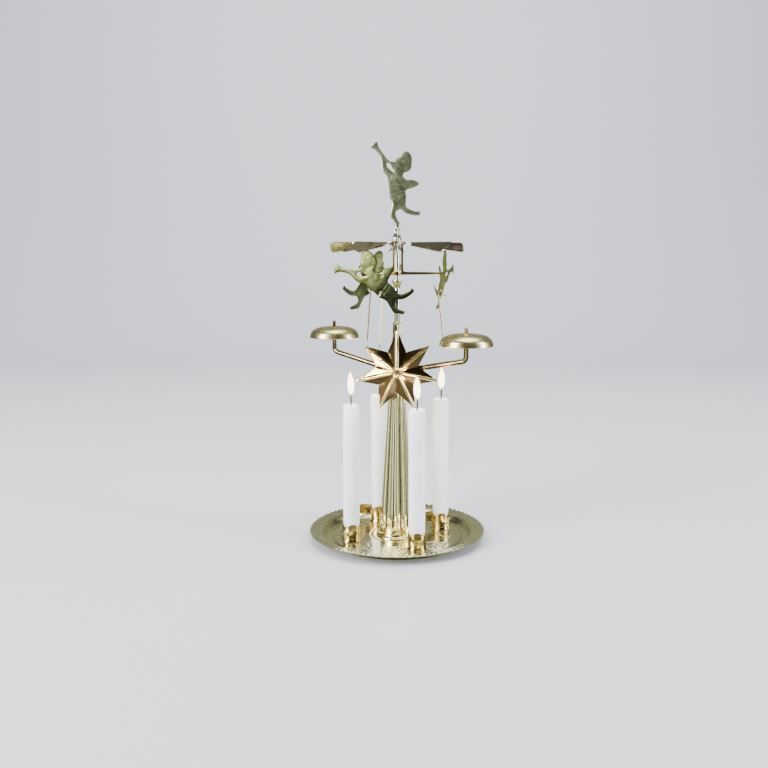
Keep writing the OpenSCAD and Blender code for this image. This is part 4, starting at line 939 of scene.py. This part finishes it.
# Rounded forms as two ends, their radii and how far they stand out, in shares of the height
FORMS = (
    ((0.105, 0.862), (0.125, 0.845), 0.110, 0.105, 1.0),      # head
    ((0.045, 0.700), (0.000, 0.540), 0.095, 0.120, 0.9),      # chest
    ((0.000, 0.500), (0.015, 0.400), 0.115, 0.120, 1.0),      # belly and hips
    ((0.010, 0.690), (-0.130, 0.740), 0.055, 0.045, 0.9),     # upper arm
    ((-0.165, 0.760), (-0.215, 0.930), 0.050, 0.036, 0.8),    # forearm and hand
    ((-0.055, 0.860), (-0.290, 1.050), 0.022, 0.040, 1.0),    # trumpet
    ((-0.290, 1.050), (-0.325, 1.090), 0.045, 0.062, 1.0),    # its bell
    ((0.130, 0.545), (0.280, 0.562), 0.070, 0.040, 0.8),      # wing
    ((0.050, 0.380), (0.080, 0.240), 0.085, 0.060, 1.0),      # bent thigh
    ((0.090, 0.205), (0.290, 0.155), 0.050, 0.028, 0.9),      # bent shin and foot
    ((-0.020, 0.380), (-0.040, 0.200), 0.075, 0.048, 0.9),    # standing thigh
    ((-0.045, 0.180), (-0.040, 0.060), 0.045, 0.036, 0.9),    # standing shin
)
FRONT_PROUD, BACK_PROUD, EDGE_ROUND = 0.32, 0.3, 0.16


def inside(points, ring):
    hit = np.zeros(len(points), bool)
    for p, q in zip(ring, np.roll(ring, -1, 0)):
        crosses = (p[1] > points[:, 1]) != (q[1] > points[:, 1])
        with np.errstate(divide="ignore", invalid="ignore"):
            x = p[0] + (points[:, 1] - p[1]) * (q[0] - p[0]) / (q[1] - p[1])
        hit ^= crosses & (points[:, 0] < x)
    return hit


def from_line(points, a, b):
    """How far points lie from a straight line, and how far along it each is nearest."""
    d = b - a
    u = np.clip(((points - a) @ d) / max(d @ d, 1e-12), 0, 1)
    return np.linalg.norm(points - (a + u[:, None] * d), axis=1), u


def from_rings(points, rings):
    sides = [side for ring in rings for side in zip(ring, np.roll(ring, -1, 0))]
    return np.min([from_line(points, p, q)[0] for p, q in sides], 0)


def relief(points):
    """How far the stamped face stands out and how dark its hollows are, both 0 to 1."""
    out = np.zeros(len(points))
    seam = np.full(len(points), 9.0)
    for a, b, start_r, end_r, proud in FORMS:
        away, u = from_line(points, np.array(a), np.array(b))
        r = start_r + (end_r - start_r) * u
        form = proud * np.sqrt(np.clip(1 - (away / r) ** 2, 0, 1)) * np.minimum(r / 0.09, 1) ** 0.5
        step = np.abs(form - out)
        seam = np.where((away < r) & (step < 0.12) & (out > 0), np.minimum(seam, step), seam)
        out = np.maximum(out, form)
    x, z = points.T
    # curls on the head, feathers on the wing and a sash round the hips
    curls = np.sin(x * 170 + 3 * np.sin(z * 90)) * np.sin(z * 150 + 2 * np.sin(x * 110))
    hair = np.clip((x + 0.5 * (z - 0.86) - 0.075) / 0.03, 0, 1) * (z > 0.745)
    wing = np.clip((x - 0.15) / 0.03, 0, 1) * (z > 0.49) * (z < 0.63)
    feathers = np.sin((z - 0.1 * x) * 300)
    sash = sum(np.exp(-((z - at - 0.25 * x) / wide) ** 2) for at, wide in ((0.43, 0.012), (0.385, 0.01)))
    sash = sash * (np.abs(x) < 0.13)
    out += 0.4 * curls * hair + 0.4 * feathers * wing - 0.5 * sash
    dark = np.clip(0.55 - out * 1.1, 0, 0.6) + 0.25 * hair * (curls < -0.1) + 0.3 * sash \
        + 0.3 * wing * (feathers < -0.2) + 0.35 * (seam < 0.05)
    return np.clip(out, 0, 1.1), np.clip(dark, 0, 1)


outline, elbow = (np.array(curved(line, 4, closed=True)) for line in (ANGEL_SHARES, ELBOW_SHARES))
hook_hole = np.array(ring_points(full_turn(28), HOOK_HOLE_R / ANGEL_H, 0, HOOK_SHARE))[:, :2]
GRID = 0.0105
grid_points = np.array([(x + (j % 2) * GRID / 2, z) for j, z in enumerate(np.arange(-0.02, 1.16, GRID * 0.87))
                        for x in np.arange(-0.4, 0.34, GRID)])


def in_blank(points, rings):
    """Which points lie on the blank: inside its first ring and in none of the holes."""
    kept = inside(points, rings[0])
    for hole in rings[1:]:
        kept &= ~inside(points, hole)
    return kept


def stamped(rings):
    """A flat triangle mesh of the blank within its edge rings."""
    free = grid_points[in_blank(grid_points, rings) & (from_rings(grid_points, rings) > GRID * 0.55)]
    edges, start = [], 0
    for ring in rings:
        n = len(ring)
        edges += [(start + i, start + (i + 1) % n) for i in range(n)]
        start += n
    flat, _, tris, *_ = geometry.delaunay_2d_cdt(
        [Vector(p) for p in np.concatenate([*rings, free])], edges, [], 0, 1e-6)
    flat = np.array([tuple(p) for p in flat])
    good = in_blank(np.array([flat[list(t)].mean(0) for t in tris]), rings)
    return flat, [tuple(t) for t, g in zip(tris, good) if g]


def angel(name, place, finish, node, rings, flat_spots, painted_light_line, arm_painted_light):
    """A stamped angel; the relief is pressed flat again where it is hooked, seated or stood."""
    flat, tris = stamped(rings)
    rise, dark = relief(flat)
    rim = from_rings(flat, rings)
    rise = rise * np.clip(rim / 0.03, 0, 1) ** 0.6
    for spot, reach in flat_spots:
        rise = rise * (1 - np.exp(-(np.linalg.norm(flat - np.array(spot), axis=1) / reach) ** 4))
    thin = EDGE_ROUND * np.clip(1 - rim / 0.006, 0, 1)
    front = np.column_stack([flat * ANGEL_H, SHEET / 2 - thin + FRONT_PROUD * rise])
    back = np.column_stack([flat * ANGEL_H, thin - SHEET / 2 + BACK_PROUD * rise])
    n = len(flat)
    sides = dict.fromkeys((t[i], t[(i + 1) % 3]) for t in tris for i in range(3))
    walls = [(b, a, a + n, b + n) for a, b in sides if (b, a) not in sides]
    faces = tris + [tuple(v + n for v in t[::-1]) for t in tris] + walls
    # painted light: the share follows the line up the body, with a painted highlight along the rim and the
    # raised arm given its own share
    painted_light = np.interp(flat[:, 1], *zip(*painted_light_line)) + 0.12 * np.clip(1 - rim / 0.012, 0, 1)
    arm = np.clip((-0.13 - flat[:, 0]) / 0.03, 0, 1) * np.clip((flat[:, 1] - 0.64) / 0.05, 0, 1)
    painted_light = np.clip(painted_light + (arm_painted_light - painted_light) * arm, 0, 1)
    piece(name, placed(np.concatenate([front, back]), place), faces, finish, "angel_gold", "rotor", [node],
          crease=50, marks=np.tile(dark, 2), painted_light_shares=np.tile(painted_light, 2))


# The standing angel gets a paler, lighter copy of the same metal: painted light
angel_gold, standing_gold_painted_light = (
    metal(name, colour, tarnish_and_shade, clouds=(700, 0.35), gloss=(0.3, 0.44), waves=(300, 0.3),
          grain=(1500, 0.05), shaded=(0.012, 0.017, 0.012))
    for name, colour, tarnish_and_shade in (("angel_gold", (0.92, 1.0, 0.34), (0.04, 0.05, 0.015)),
                                  ("standing_gold_painted_light", (0.86, 1.0, 0.62), (0.10, 0.13, 0.06))))
# How each hanging angel's metal is painted from its feet up, and its raised arm: painted light and
# shade, as lit and shaded copies of the one metal
ANGEL_PAINTED_LIGHT = (([(0, 0.7), (1.1, 0.9)], 0.6), ([(0, 0.02), (0.5, 0.04), (1.1, 0.1)], 0.12),
               ([(0, 0.005), (0.36, 0.01), (0.5, 0.05), (0.7, 0.2), (1.1, 0.3)], 0.22))
hook_z = HANGER_Z - ANGEL_H * HANG_SHARE
hanger_seat = (HOOK_SHARE[0] + HANG_SHARE * math.sin(ANGEL_LEAN),
               HOOK_SHARE[1] + HANG_SHARE * math.cos(ANGEL_LEAN))
hung = Matrix.Translation((ANGEL_REACH, 0, hook_z)) @ Matrix.Rotation(math.pi / 2, 4, "Z") \
    @ Matrix.Rotation(math.pi / 2, 4, "X") @ Matrix.Rotation(ANGEL_LEAN, 4, "Z") \
    @ Matrix.Translation((-HOOK_SHARE[0] * ANGEL_H, -HOOK_SHARE[1] * ANGEL_H, 0))
for i, (painted_light_line, arm_painted_light) in enumerate(ANGEL_PAINTED_LIGHT):
    angel(f"stamped_angel_{i + 1}", Matrix.Rotation(math.radians(HANGER_TURN + 120 * i), 4, "Z") @ hung,
          angel_gold, f"angel_{i + 1}", [outline, elbow, hook_hole],
          [(HOOK_SHARE, 0.045), (hanger_seat, 0.04)], painted_light_line, arm_painted_light)
angel("standing_angel", Matrix.Translation((0, 0, WHEEL_Z + CROWN_H + 0.05)) @ radial_plane(0),
      standing_gold_painted_light, "top_angel", [outline, elbow], [((0, 0), 0.06)],
      [(0, 0.62), (0.3, 0.72), (0.9, 0.72), (1.1, 0.74)], 1)


# Strikers
# Straightened steel wire, turned into an open hook that hangs through the angel's hole. The
# shank leans out a little, so its tip sweeps just inside the bells and swings into their rims.
bright_wire = metal("bright_wire", (0.86, 0.74, 0.42), (0.34, 0.26, 0.12), clouds=(90, 0.15),
                    gloss=(0.05, 0.12), waves=(60, 0.1), grain=(1500, 0.004))
WIRE_R, HOOK_R, DROP, SPLAY, FREE_TURN = 0.55, 2.6, 42.5, 1.9, 50
shank_lean = math.atan((HOOK_R + SPLAY) / (DROP - HOOK_R))
shank = (DROP - HOOK_R) / math.cos(shank_lean) - WIRE_R
striker_path = [(HOOK_R * math.cos(a), 0, HOOK_R * math.sin(a))
                for a in np.radians(np.linspace(-FREE_TURN, 180, 30))]
striker_path += [(shank * s * math.sin(shank_lean) - HOOK_R, 0, -shank * s * math.cos(shank_lean))
                 for s in np.linspace(0.03, 1, 14)]
striker_radii = [0.3, 0.5] + [WIRE_R] * (len(striker_path) - 4) + [0.5, 0.3]
for i in range(3):
    points, faces = wire(striker_path, striker_radii, 16)
    place = Matrix.Rotation(math.radians(HANGER_TURN + 120 * i), 4, "Z") \
        @ Matrix.Translation((ANGEL_REACH, 0, hook_z - HOOK_R))
    piece(f"hooked_striker_{i + 1}", placed(points, place), faces, bright_wire, "bright_steel",
          f"striker_{i + 1}", [f"striker_{i + 1}"])
